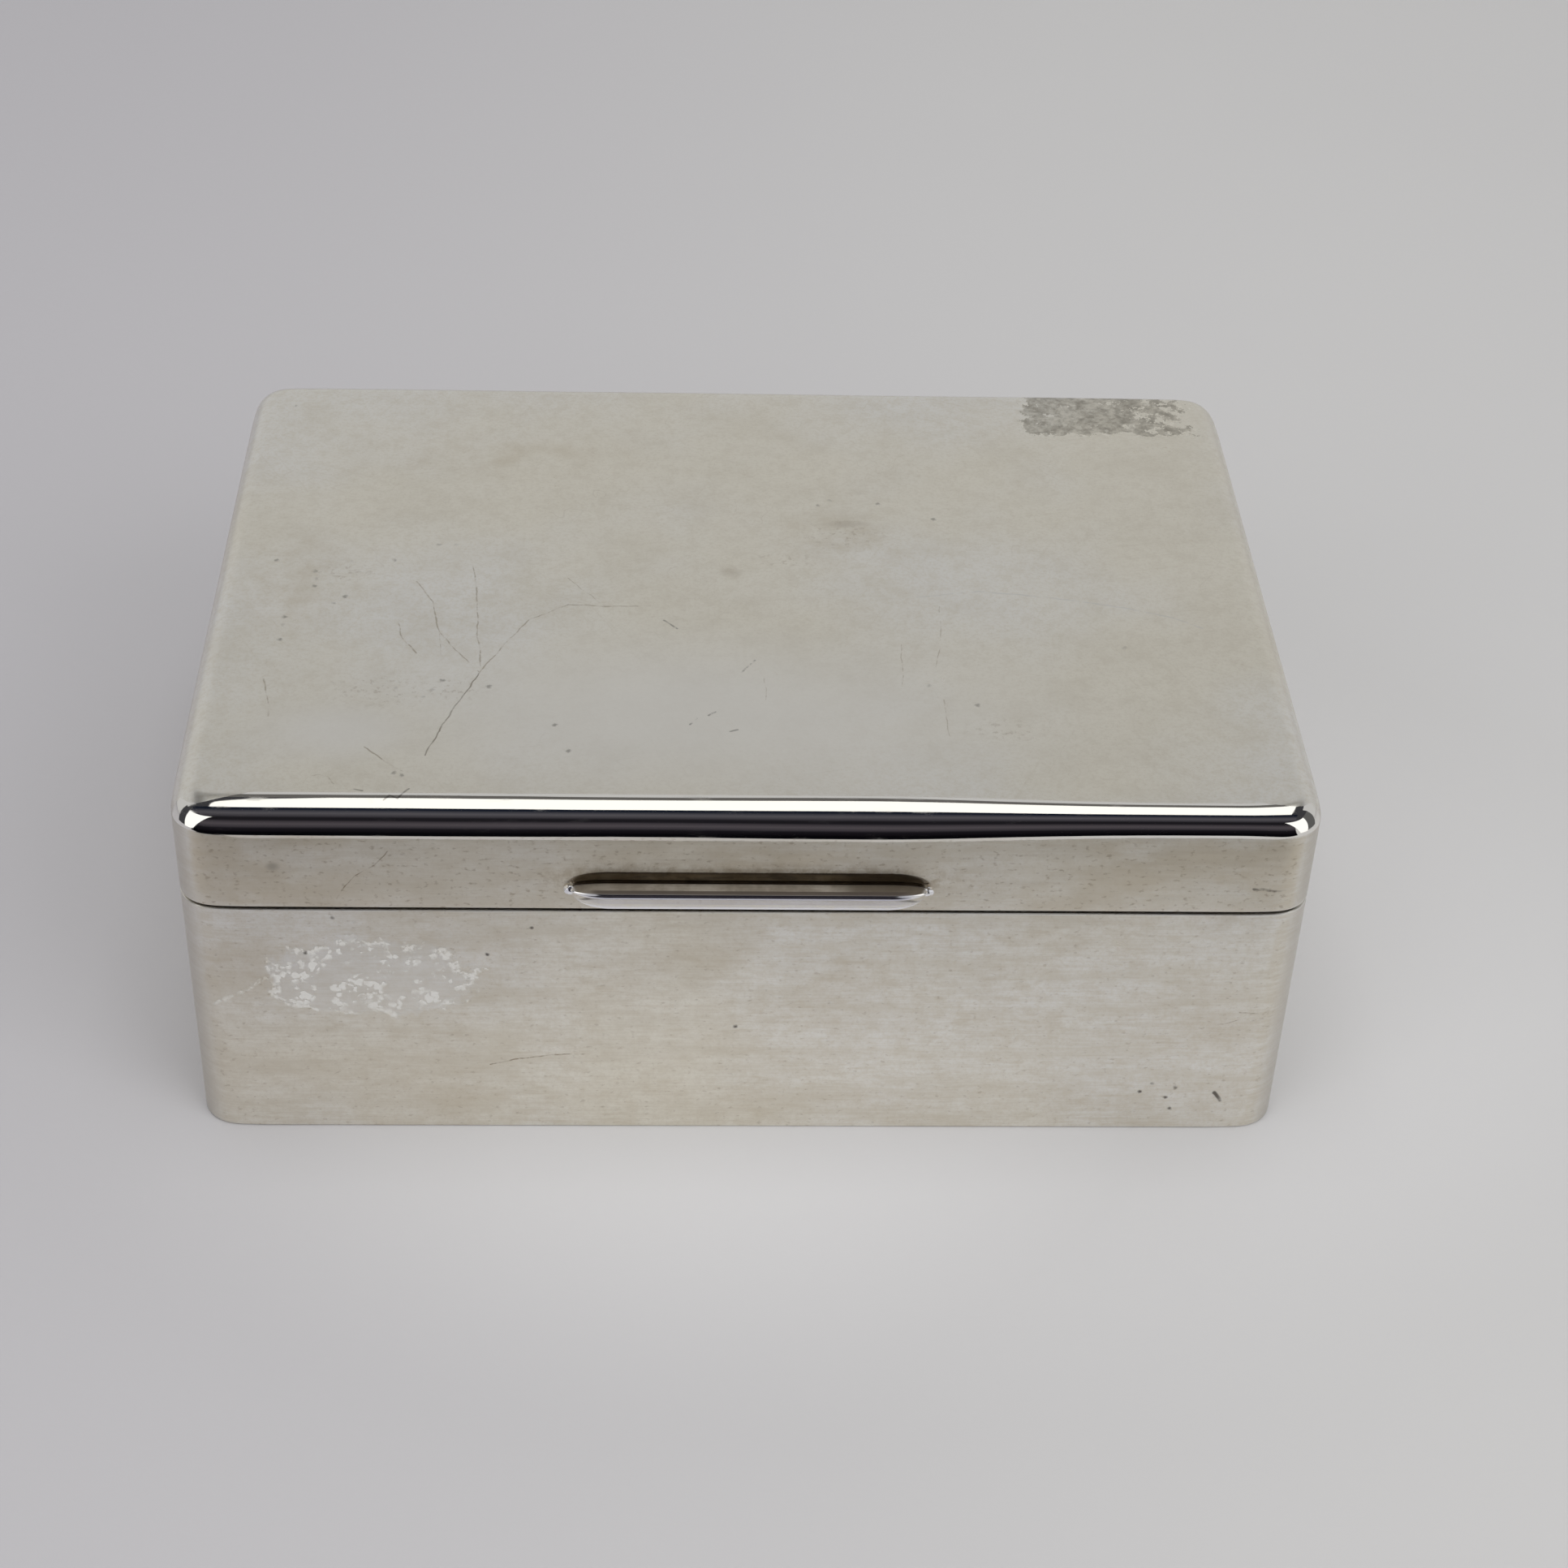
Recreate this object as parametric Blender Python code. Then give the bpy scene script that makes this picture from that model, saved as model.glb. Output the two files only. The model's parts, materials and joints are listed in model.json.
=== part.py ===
"""A plain silver cigarette box with a cedar lining in two compartments and a hinged lid.

Metres, +Z up, +X to the right, the thumb-piece towards -Y. The origin is the centre of the underside.
"""

import math

import bmesh
import bpy
from mathutils import Vector

MM = 0.001

# The outside of the box
WIDTH = 114.3 * MM
DEPTH = 82.5 * MM
BODY_HEIGHT = 30.2 * MM
LID_HEIGHT = 12.2 * MM
CORNER_RADIUS = 4.0 * MM
LID_EDGE_RADIUS = 2.7 * MM
BASE_EDGE_RADIUS = 0.4 * MM

# The sheet silver, and the clearances that every fit is made with
SILVER_GAUGE = 0.9 * MM
SEAM_GAP = 0.3 * MM
SEAT_GAP = 0.3 * MM
CUT_OVERRUN = 0.5 * MM

# The cedar inside
FLOOR_THICKNESS = 2.4 * MM
LINING_THICKNESS = 2.4 * MM
LID_PANEL_THICKNESS = 2.0 * MM
RIM_DROP = 0.3 * MM
DIVIDER_THICKNESS = 2.4 * MM
DIVIDER_DROP = 1.5 * MM
DIVIDER_GROOVE = 0.9 * MM

# The hinge
HINGE_MARGIN = 15.0 * MM
HINGE_SETBACK = 0.3 * MM
KNUCKLE_COUNT = 7
KNUCKLE_RADIUS = 1.3 * MM
KNUCKLE_GAP = 0.2 * MM
PIN_RADIUS = 0.55 * MM
PIN_CLEARANCE = 0.06 * MM
STRIP_BACKING = 0.7 * MM
STRIP_LEG = 4.0 * MM
STRIP_FACE = 2.6 * MM
LIP_THICKNESS = 0.5 * MM
LIP_ANGLE = math.radians(50)

# The thumb-piece
THUMB_LENGTH = 35.7 * MM
THUMB_HEIGHT = 3.6 * MM
THUMB_REACH = 1.67 * MM
THUMB_FALL = 0.2 * MM
THUMB_END = 4.0 * MM
THUMB_TIP_HEIGHT = 2.9 * MM
THUMB_UNDERCUT = 1.3

# How finely the round shapes are cut
CORNER_STEPS = 10
EDGE_STEPS = 8
KNUCKLE_STEPS = 32
GROOVE_STEPS = 14
THUMB_END_STEPS = 8
THUMB_FACE_STEPS = 5
SHARP_ANGLE = math.radians(30)

# Heights and places that follow from the sizes above
BODY_RIM = BODY_HEIGHT - SEAM_GAP / 2
LID_RIM = BODY_HEIGHT + SEAM_GAP / 2
TOP = BODY_HEIGHT + LID_HEIGHT
INNER_INSET = SILVER_GAUGE + SEAT_GAP
LINING_HALF_X = WIDTH / 2 - INNER_INSET
LINING_HALF_Y = DEPTH / 2 - INNER_INSET
LINING_CORNER = CORNER_RADIUS - INNER_INSET
FLOOR_LOW = SILVER_GAUGE + SEAT_GAP
FLOOR_TOP = FLOOR_LOW + FLOOR_THICKNESS
PANEL_TOP = TOP - SILVER_GAUGE - SEAT_GAP
PANEL_LOW = PANEL_TOP - LID_PANEL_THICKNESS
HINGE_Y = DEPTH / 2 + HINGE_SETBACK
HINGE_HALF_LENGTH = WIDTH / 2 - HINGE_MARGIN
GROOVE_RADIUS = KNUCKLE_RADIUS + KNUCKLE_GAP
LIP_RADIUS = GROOVE_RADIUS + LIP_THICKNESS
WALL_INNER = HINGE_SETBACK + INNER_INSET
STRIP_INNER = max(WALL_INNER, GROOVE_RADIUS) + STRIP_BACKING


def clear_scene():
    for obj in list(bpy.data.objects):
        bpy.data.objects.remove(obj, do_unlink=True)


def principled(name, colour, metallic, roughness):
    material = bpy.data.materials.new(name)
    material.use_nodes = True
    shader = material.node_tree.nodes["Principled BSDF"]
    shader.inputs["Base Color"].default_value = (*colour, 1.0)
    shader.inputs["Metallic"].default_value = metallic
    shader.inputs["Roughness"].default_value = roughness
    return material


def satin_silver(name):
    return principled(name, (0.77, 0.75, 0.69), 1.0, 0.32)


def bright_silver(name):
    return principled(name, (0.86, 0.85, 0.81), 1.0, 0.12)


def cedar(name):
    return principled(name, (0.46, 0.24, 0.13), 0.0, 0.55)


def steel(name):
    return principled(name, (0.55, 0.55, 0.54), 1.0, 0.35)


def new_object(name, bm, finish, place=(0, 0, 0), parent=None):
    """Turns a bmesh drawn about its own origin into a shaded object whose origin is at place in the world."""
    bmesh.ops.recalc_face_normals(bm, faces=bm.faces)
    mesh = bpy.data.meshes.new(name)
    bm.to_mesh(mesh)
    bm.free()
    mesh.shade_smooth()
    mesh.set_sharp_from_angle(angle=SHARP_ANGLE)
    mesh.materials.append(finish(name))
    return add_object(name, mesh, place, parent)


def add_object(name, mesh, place, parent=None):
    obj = bpy.data.objects.new(name, mesh)
    bpy.context.scene.collection.objects.link(obj)
    obj.location = Vector(place)
    if parent:
        obj.parent = parent
        obj.location -= parent.location
    return obj


def pivot_at(name, place):
    pivot = bpy.data.objects.new(name, None)
    bpy.context.scene.collection.objects.link(pivot)
    pivot.location = place
    return pivot


def rounded_ring(inset, height):
    """The outline of the box, moved inwards by inset, at one height."""
    radius = CORNER_RADIUS - inset
    centre_x = WIDTH / 2 - CORNER_RADIUS
    centre_y = DEPTH / 2 - CORNER_RADIUS
    points = []
    for corner, (side_x, side_y) in enumerate(((1, 1), (-1, 1), (-1, -1), (1, -1))):
        for step in range(CORNER_STEPS + 1):
            angle = math.radians(90) * (corner + step / CORNER_STEPS)
            x = side_x * centre_x + radius * math.cos(angle)
            y = side_y * centre_y + radius * math.sin(angle)
            points.append(Vector((x, y, height)))
    return points


def quarter_round(inset, height, radius, rising):
    """(inset, height) pairs up a rounded top edge, whose centre is radius in from the wall."""
    pairs = []
    for step in range(EDGE_STEPS + 1):
        angle = math.radians(90) * step / EDGE_STEPS
        pairs.append((inset + radius * (1 - math.cos(angle)), height + radius * math.sin(angle)))
    return pairs if rising else pairs[::-1]


def lofted(rings, closed):
    """A skin over rings of points. A closed one joins its last ring to its first, any other is capped."""
    bm = bmesh.new()
    loops = [[bm.verts.new(point) for point in ring] for ring in rings]
    pairs = list(zip(loops, loops[1:]))
    if closed:
        pairs.append((loops[-1], loops[0]))
    else:
        bm.faces.new(loops[0])
        bm.faces.new(loops[-1])
    for low, high in pairs:
        for i in range(len(low)):
            j = (i + 1) % len(low)
            bm.faces.new((low[i], low[j], high[j], high[i]))
    return bm


def prism(points, travel):
    """A flat outline pushed along travel."""
    return lofted([points, [point + Vector(travel) for point in points]], closed=False)


def block(name, low, high):
    """A cutter: a plain box that isn't part of the object."""
    corners = [Vector((low[0], low[1], low[2])), Vector((high[0], low[1], low[2]))]
    corners += [Vector((high[0], high[1], low[2])), Vector((low[0], high[1], low[2]))]
    bm = prism(corners, (0, 0, high[2] - low[2]))
    bmesh.ops.recalc_face_normals(bm, faces=bm.faces)
    mesh = bpy.data.meshes.new(name)
    bm.to_mesh(mesh)
    bm.free()
    cutter = add_object(name, mesh, (0, 0, 0))
    cutter.hide_render = True
    cutter.display_type = "WIRE"
    return cutter


def cut(obj, cutter):
    modifier = obj.modifiers.new(cutter.name, "BOOLEAN")
    modifier.operation = "DIFFERENCE"
    modifier.solver = "EXACT"
    modifier.object = cutter


def side_band():
    """The silver wall, one strip bent round the four corners, its lower edge eased."""
    profile = []
    for step in range(EDGE_STEPS + 1):
        angle = math.radians(90) * step / EDGE_STEPS
        inset = BASE_EDGE_RADIUS * (1 - math.sin(angle))
        profile.append((inset, BASE_EDGE_RADIUS * (1 - math.cos(angle))))
    profile += [(0, BODY_RIM), (SILVER_GAUGE, BODY_RIM), (SILVER_GAUGE, 0)]
    rings = [rounded_ring(inset, height) for inset, height in profile]
    return new_object("side_band", lofted(rings, closed=True), satin_silver)


def flat_board(name, low, high, finish):
    """A sheet that fills the inside of the silver wall."""
    rings = [rounded_ring(INNER_INSET, low), rounded_ring(INNER_INSET, high)]
    return new_object(name, lofted(rings, closed=False), finish)


def lining_outline(half_along, half_across):
    """Plan of one lining board, outer face towards -Y, with mitred ends rounded to the corners of the box."""
    mitre_shift = SEAT_GAP / math.sqrt(2)
    mitre_angle = math.asin(mitre_shift / (math.sqrt(2) * LINING_CORNER))
    centre_y = LINING_CORNER - half_across
    points = []
    for side, first, last in (
        (-1, math.radians(225) + mitre_angle, math.radians(270)),
        (1, math.radians(270), math.radians(315) - mitre_angle),
    ):
        centre_x = side * (half_along - LINING_CORNER)
        for step in range(CORNER_STEPS // 2 + 1):
            angle = first + (last - first) * step / (CORNER_STEPS // 2)
            x = centre_x + LINING_CORNER * math.cos(angle)
            points.append(Vector((x, centre_y + LINING_CORNER * math.sin(angle), 0)))
    inner_x = half_along - LINING_THICKNESS - mitre_shift
    inner_y = LINING_THICKNESS - half_across
    return points + [Vector((inner_x, inner_y, 0)), Vector((-inner_x, inner_y, 0))]


def lining_boards(prefix, low, high, parent=None):
    """The four mitred boards round the inside, returned by side."""
    boards = {}
    for turn, side in enumerate(("front", "right", "back", "left")):
        halves = (LINING_HALF_X, LINING_HALF_Y)
        along, across = halves if turn % 2 == 0 else halves[::-1]
        bm = prism(lining_outline(along, across), (0, 0, high - low))
        board = new_object(f"{prefix}_{side}", bm, cedar, (0, 0, low), parent)
        board.rotation_euler.z = math.radians(90) * turn
        boards[side] = board
    return boards


def divider():
    """The upright board between the two compartments, its ends in grooves of the front and back boards."""
    inner_y = LINING_HALF_Y - LINING_THICKNESS + DIVIDER_GROOVE - SEAT_GAP
    half_x = DIVIDER_THICKNESS / 2
    low = FLOOR_TOP + SEAT_GAP
    high = BODY_RIM - RIM_DROP - DIVIDER_DROP
    corners = [Vector((-half_x, -inner_y, 0)), Vector((half_x, -inner_y, 0))]
    corners += [Vector((half_x, inner_y, 0)), Vector((-half_x, inner_y, 0))]
    return new_object("divider", prism(corners, (0, 0, high - low)), cedar, (0, 0, low))


def lid_shell(parent):
    """The lid, raised from one sheet, with rounded top edges inside and out."""
    inner_radius = LID_EDGE_RADIUS - SILVER_GAUGE
    edge_height = TOP - LID_EDGE_RADIUS
    profile = quarter_round(SILVER_GAUGE, edge_height, inner_radius, rising=False)
    profile += [(SILVER_GAUGE, LID_RIM), (0, LID_RIM)]
    profile += quarter_round(0, edge_height, LID_EDGE_RADIUS, rising=True)
    rings = [rounded_ring(inset, height - BODY_HEIGHT) for inset, height in profile]
    return new_object("lid_shell", lofted(rings, closed=False), satin_silver, (0, 0, BODY_HEIGHT), parent)


def lid_panel(parent):
    """The cedar board under the top of the lid, its upper edge eased to clear the rounded silver."""
    ease = LID_EDGE_RADIUS - INNER_INSET
    profile = [(INNER_INSET, 0)] + quarter_round(INNER_INSET, PANEL_TOP - PANEL_LOW - ease, ease, rising=True)
    rings = [rounded_ring(inset, height) for inset, height in profile]
    return new_object("lid_panel", lofted(rings, closed=False), cedar, (0, 0, PANEL_LOW), parent)


def thumb_section(place, size):
    """One cut across the thumb-piece: a ledge that falls a little to a sharp front edge, and a hollowed underside."""
    front_height = THUMB_HEIGHT - THUMB_FALL
    outline = [(0, THUMB_HEIGHT)]
    for step in range(THUMB_FACE_STEPS + 1):
        share = 1 - step / THUMB_FACE_STEPS
        outline.append((THUMB_REACH * share**THUMB_UNDERCUT, front_height * share))
    points = []
    for reach, height in outline:
        eased_height = THUMB_TIP_HEIGHT + (height - THUMB_TIP_HEIGHT) * size
        points.append(Vector((place, -reach * size, eased_height)))
    return points


def thumb_piece(parent):
    """The boat-shaped bar that lifts the lid, drawn to a point at each end."""
    half_straight = THUMB_LENGTH / 2 - THUMB_END
    sections = []
    for step in range(THUMB_END_STEPS):
        angle = math.radians(90) * step / THUMB_END_STEPS
        sections.append(thumb_section(half_straight + THUMB_END * math.sin(angle), math.cos(angle)))
    mirrored = [[Vector((-p.x, p.y, p.z)) for p in section] for section in reversed(sections)]
    sections = mirrored + sections
    bm = lofted(sections, closed=False)
    for cap in [face for face in bm.faces if len(face.verts) == len(sections[0])]:
        side = math.copysign(1, cap.calc_center_median().x)
        tip = Vector((side * THUMB_LENGTH / 2, 0, THUMB_TIP_HEIGHT))
        bmesh.ops.poke(bm, faces=[cap])["verts"][0].co = tip
    place = (0, -DEPTH / 2 - SEAT_GAP, LID_RIM)
    return new_object("thumb_piece", bm, bright_silver, place, parent)


def hinge_strip(name, side, parent=None):
    """The silver strip that one half of the hinge is soldered to. Side is -1 on the box and 1 on the lid.

    Its section is drawn about the hinge axis: a leg inside the wall, a face flush with the wall,
    a rounded cover behind, the lip that stops the lid, and the groove that the knuckles lie in.
    """
    half_gap = SEAM_GAP / 2
    section = [(-STRIP_INNER, half_gap), (-STRIP_INNER, STRIP_LEG), (-WALL_INNER, STRIP_LEG)]
    section += [(-WALL_INNER, STRIP_FACE), (-HINGE_SETBACK, STRIP_FACE)]
    cover_start = math.acos(-HINGE_SETBACK / LIP_RADIUS)
    groove_end = math.pi - math.asin(half_gap / GROOVE_RADIUS)
    arcs = ((LIP_RADIUS, cover_start, LIP_ANGLE), (GROOVE_RADIUS, LIP_ANGLE, groove_end))
    for radius, first, last in arcs:
        for step in range(GROOVE_STEPS + 1):
            angle = first + (last - first) * step / GROOVE_STEPS
            section.append((radius * math.cos(angle), radius * math.sin(angle)))
    points = [Vector((-HINGE_HALF_LENGTH, y, side * z)) for y, z in section]
    bm = prism(points, (2 * HINGE_HALF_LENGTH, 0, 0))
    return new_object(name, bm, satin_silver, (0, HINGE_Y, BODY_HEIGHT), parent)


def round_ring(radius, place):
    points = []
    for step in range(KNUCKLE_STEPS):
        angle = math.radians(360) * step / KNUCKLE_STEPS
        points.append(Vector((place, radius * math.cos(angle), radius * math.sin(angle))))
    return points


def knuckles(parent):
    """The bored tubes along the hinge axis: odd ones on the box, even ones on the lid."""
    pitch = 2 * HINGE_HALF_LENGTH / KNUCKLE_COUNT
    half = (pitch - KNUCKLE_GAP) / 2
    bore = PIN_RADIUS + PIN_CLEARANCE
    corners = ((KNUCKLE_RADIUS, -half), (KNUCKLE_RADIUS, half), (bore, half), (bore, -half))
    for number in range(KNUCKLE_COUNT):
        on_lid = number % 2 == 1
        name = f"{'lid' if on_lid else 'box'}_knuckle_{number // 2 + 1}"
        rings = [round_ring(radius, place) for radius, place in corners]
        place = (pitch * (number + 0.5) - HINGE_HALF_LENGTH, HINGE_Y, BODY_HEIGHT)
        new_object(name, lofted(rings, closed=True), satin_silver, place, parent if on_lid else None)


def hinge_pin():
    half = HINGE_HALF_LENGTH - KNUCKLE_GAP / 2
    rings = [round_ring(PIN_RADIUS, -half), round_ring(PIN_RADIUS, half)]
    return new_object("hinge_pin", lofted(rings, closed=False), steel, (0, HINGE_Y, BODY_HEIGHT))


def hinge_notch_cutter():
    """Takes the back walls of box and lid away where the hinge strips lie flush."""
    half_x = HINGE_HALF_LENGTH + SEAT_GAP
    reach = STRIP_FACE + SEAT_GAP
    low = (-half_x, DEPTH / 2 - SILVER_GAUGE - CUT_OVERRUN, BODY_HEIGHT - reach)
    return block("hinge_notch", low, (half_x, DEPTH / 2 + CUT_OVERRUN, BODY_HEIGHT + reach))


def hinge_rebate_cutter():
    """Takes the back lining boards away where the legs of the hinge strips lie."""
    half_x = HINGE_HALF_LENGTH + SEAT_GAP
    reach = STRIP_LEG + SEAT_GAP
    low = (-half_x, HINGE_Y - STRIP_INNER - SEAT_GAP, BODY_HEIGHT - reach)
    return block("hinge_rebate", low, (half_x, DEPTH / 2, BODY_HEIGHT + reach))


def divider_groove_cutter():
    half_x = DIVIDER_THICKNESS / 2 + SEAT_GAP
    half_y = LINING_HALF_Y - LINING_THICKNESS + DIVIDER_GROOVE
    low = (-half_x, -half_y, FLOOR_TOP - CUT_OVERRUN)
    return block("divider_groove", low, (half_x, half_y, BODY_RIM + CUT_OVERRUN))


def main():
    clear_scene()
    lid_pivot = pivot_at("lid_pivot", (0, HINGE_Y, BODY_HEIGHT))
    notch = hinge_notch_cutter()
    rebate = hinge_rebate_cutter()
    groove = divider_groove_cutter()

    cut(side_band(), notch)
    flat_board("base_plate", 0, SILVER_GAUGE, satin_silver)
    flat_board("lining_floor", FLOOR_LOW, FLOOR_TOP, cedar)
    box_lining = lining_boards("lining", FLOOR_TOP + SEAT_GAP, BODY_RIM - RIM_DROP)
    cut(box_lining["front"], groove)
    cut(box_lining["back"], groove)
    cut(box_lining["back"], rebate)
    divider()

    cut(lid_shell(lid_pivot), notch)
    lid_panel(lid_pivot)
    lid_lining = lining_boards("lid_lining", LID_RIM + RIM_DROP, PANEL_LOW - SEAT_GAP, lid_pivot)
    cut(lid_lining["back"], rebate)
    thumb_piece(lid_pivot)

    hinge_strip("box_hinge_strip", -1)
    hinge_strip("lid_hinge_strip", 1, lid_pivot)
    knuckles(lid_pivot)
    hinge_pin()


main()
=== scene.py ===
"""The looks of the silver cigarette box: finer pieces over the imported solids, finishes, table and light.

Metres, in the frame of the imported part: +Z up, +X to the right, the thumb-piece towards -Y.
"""

import json
import math

import bmesh
import bpy
from mathutils import Matrix, Vector, noise


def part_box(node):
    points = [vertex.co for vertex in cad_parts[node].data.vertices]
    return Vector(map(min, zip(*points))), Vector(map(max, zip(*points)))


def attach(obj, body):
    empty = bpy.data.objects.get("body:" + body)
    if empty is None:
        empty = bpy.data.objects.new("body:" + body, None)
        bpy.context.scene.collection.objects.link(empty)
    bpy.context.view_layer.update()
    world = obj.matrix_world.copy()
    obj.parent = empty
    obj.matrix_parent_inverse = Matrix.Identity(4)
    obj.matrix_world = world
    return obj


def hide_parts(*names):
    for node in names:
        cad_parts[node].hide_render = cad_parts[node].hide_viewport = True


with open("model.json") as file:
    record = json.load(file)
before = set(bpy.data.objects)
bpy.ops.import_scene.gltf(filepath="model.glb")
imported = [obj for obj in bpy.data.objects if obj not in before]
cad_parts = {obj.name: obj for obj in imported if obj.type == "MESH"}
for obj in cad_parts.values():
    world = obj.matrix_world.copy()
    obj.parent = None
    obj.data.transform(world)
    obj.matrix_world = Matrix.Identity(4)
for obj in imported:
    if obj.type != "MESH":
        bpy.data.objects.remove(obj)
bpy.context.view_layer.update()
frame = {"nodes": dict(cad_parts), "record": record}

MM = 0.001
NODES = frame["nodes"]
RECORD = frame["record"]
BODY_OF = {node: body for body, nodes in RECORD["behaviour"]["bodies"].items() for node in nodes}
SLOT_OF = {row["node"]: row["material_slot"] for row in RECORD["subparts"]}

# Sizes that the frame gives
band_low, band_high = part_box("side_band")
shell_low, shell_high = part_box("lid_shell")
thumb_low, thumb_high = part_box("thumb_piece")
WIDTH = band_high.x - band_low.x
DEPTH = band_high.y - band_low.y
FRONT = -DEPTH / 2
BODY_RIM = band_high.z
LID_RIM = shell_low.z
SEAM = (BODY_RIM + LID_RIM) / 2
TOP = shell_high.z
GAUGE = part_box("base_plate")[1].z
HINGE_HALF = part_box("box_hinge_strip")[1].x
THUMB_LENGTH = thumb_high.x - thumb_low.x
THUMB_WALL = thumb_high.y

# Sizes that follow the photo
LID_EDGE_RADIUS = 2.7 * MM
EDGE_RADIUS_LEFT = 2.95 * MM
EDGE_RADIUS_RIGHT = 2.2 * MM
BASE_EDGE_RADIUS = 0.4 * MM
RIM_EASE = 0.12 * MM
SOLDER_GAP = 0.03 * MM

# The thumb-piece, with heights above the rim of the lid
THUMB_HEIGHT = 3.6 * MM
THUMB_REACH = 1.67 * MM
THUMB_FALL = 0.2 * MM
THUMB_END = 4.0 * MM
THUMB_STRAIGHT = THUMB_LENGTH / 2 - THUMB_END
THUMB_TIP_HEIGHT = 2.9 * MM
THUMB_UNDERCUT = 1.3
THUMB_EDGE = 0.42 * MM
THUMB_EDGE_ANGLES = (50, -38)
THUMB_GROOVE = 0.22 * MM
THUMB_GROOVE_RISE = ((-0.025 * MM, 1.0), (0, 0.3), (0.1336 * MM, 0.1))
THUMB_BACK = 0.25 * MM
THUMB_FOOT_BACK = 0.08 * MM
THUMB_FOOT = 0.22 * MM
BEAD_RADII = (0.62 * MM, 0.42 * MM, 0.55 * MM)
BEAD_INSET = 0.055 * MM
BEAD_DROP = 0.165 * MM
BEAD_LUMP = 0.16
BEAD_LUMP_LENGTH = 0.5

# The hinge about its axis
HINGE_SETBACK = 0.3 * MM
HINGE_PLACE = Vector((0, DEPTH / 2 + HINGE_SETBACK, SEAM))
KNUCKLE_COUNT = 7
KNUCKLE_RADIUS = 1.3 * MM
KNUCKLE_GAP = 0.2 * MM
KNUCKLE_EASE = 0.1 * MM
PIN_RADIUS = 0.55 * MM
PIN_CLEARANCE = 0.06 * MM
PIN_DOME = 0.12 * MM
PIN_END = ((1, 1), (0.4, 0.9), (0, 0.55))
GROOVE_RADIUS = KNUCKLE_RADIUS + 0.2 * MM
LIP_RADIUS = GROOVE_RADIUS + 0.5 * MM
LIP_ANGLE = 50
STRIP_LEG = 4.0 * MM
STRIP_FACE = 2.6 * MM
STRIP_INNER = 2.2 * MM
WALL_INNER = 1.5 * MM
NOTCH_MARGIN = 0.3 * MM

# A corner bends gently over its whole run, and most of the right angle is turned in the middle of it
CORNER_RUN = 17.0 * MM
CORNER_TIGHT_RUN = 7.8 * MM
CORNER_TIGHT_SHARE = 0.85

# The rounded edge of the lid: its change from left to right, its waves, and how far its polish goes
EDGE_TURN_FROM = 12.0 * MM
EDGE_TURN_TO = 42.0 * MM
EDGE_CORNER_FROM = 48.0 * MM
EDGE_CORNER_SWELL = 0.45 * MM
EDGE_SETTLE = 30.0 * MM
WOBBLE = 0.05 * MM
WOBBLE_LENGTH = 22.0 * MM
POLISH_FROM = 0.8 * MM
POLISH_TO = 4.4 * MM
POLISH_HEAD = 96
POLISH_HEAD_DROP = 42
POLISH_FOOT_RISE = 10
POLISH_FADE = 8
POLISH_LEFT = (47 * MM, 57 * MM)
POLISH_RIGHT = (48.5 * MM, 60 * MM)

# Rows of points just off the rounded edge, as (distance in millimetres, share of the polish)
SWAGE_BELOW = ((1.1, 0.0), (0.5, 0.12), (0.2, 0.6))
SWAGE_ABOVE = ((0.12, 0.75), (0.3, 0.3), (0.5, 0.0))

# How finely the visible shapes are cut
CORNER_STEPS = 40
CORNER_FINENESS = 20
EDGE_STEPS = 22
EASE_STEPS = 3
BASE_STEPS = 6
SIDE_SPACING = 3.0 * MM
WALL_ROWS = (0.1, 0.3, 0.5, 0.7, 0.9)
LID_WALL_ROWS = (0.2, 0.4, 0.55)
THUMB_EDGE_STEPS = 8
THUMB_FACE_STEPS = 18
THUMB_END_STEPS = 26
BEAD_STEPS = 16
TURNED_STEPS = 64
GROOVE_STEPS = 26
MERGE_DISTANCE = 0.002 * MM
SHARP_ANGLE = math.radians(28)

# The camera, fitted to the corners of the box in the photo, whose side is 1932 pixels
FRAME_SIDE = 1932
FOCAL = 3630.32
PITCH = math.radians(37.909)
YAW = math.radians(-3.011)
ROLL = math.radians(2.274)
CAMERA_PLACE = Vector((-0.0768, -2.3259, 1.9377)) * WIDTH
SENSOR = 36


def assign(thing, **values):
    """Sets several values of a Blender thing, and gives it back."""
    for key, value in values.items():
        setattr(thing, key, value)
    return thing


def in_scene(name, data):
    obj = bpy.data.objects.new(name, data)
    bpy.context.scene.collection.objects.link(obj)
    return obj


def camera_axes():
    spin = Matrix.Rotation(YAW, 3, "Z")
    forward = spin @ Vector((0, math.cos(PITCH), -math.sin(PITCH)))
    up = spin @ Vector((0, math.sin(PITCH), math.cos(PITCH)))
    right = spin @ Vector((1, 0, 0))
    rolled_right = math.cos(ROLL) * right + math.sin(ROLL) * up
    rolled_up = -math.sin(ROLL) * right + math.cos(ROLL) * up
    return rolled_right, rolled_up, forward


def add_camera():
    right, up, forward = camera_axes()
    data = bpy.data.cameras.new("camera")
    assign(data, sensor_width=SENSOR, lens=FOCAL / FRAME_SIDE * SENSOR, clip_start=10 * MM)
    obj = in_scene("camera", data)
    obj.matrix_world = Matrix.Translation(CAMERA_PLACE) @ Matrix((right, up, -forward)).transposed().to_4x4()
    bpy.context.scene.camera = obj


def seen_on(pixel, axis, level):
    """Where the pixel of the photo lies on the plane where that axis has that level, in millimetres."""
    right, up, forward = camera_axes()
    ray = (pixel[0] - FRAME_SIDE / 2) * right - (pixel[1] - FRAME_SIDE / 2) * up + FOCAL * forward
    return (CAMERA_PLACE + ray * ((level - CAMERA_PLACE[axis]) / ray[axis])) / MM


def on_lid(pixel):
    return seen_on(pixel, 2, TOP)


def on_front(pixel):
    return seen_on(pixel, 1, FRONT)


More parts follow.
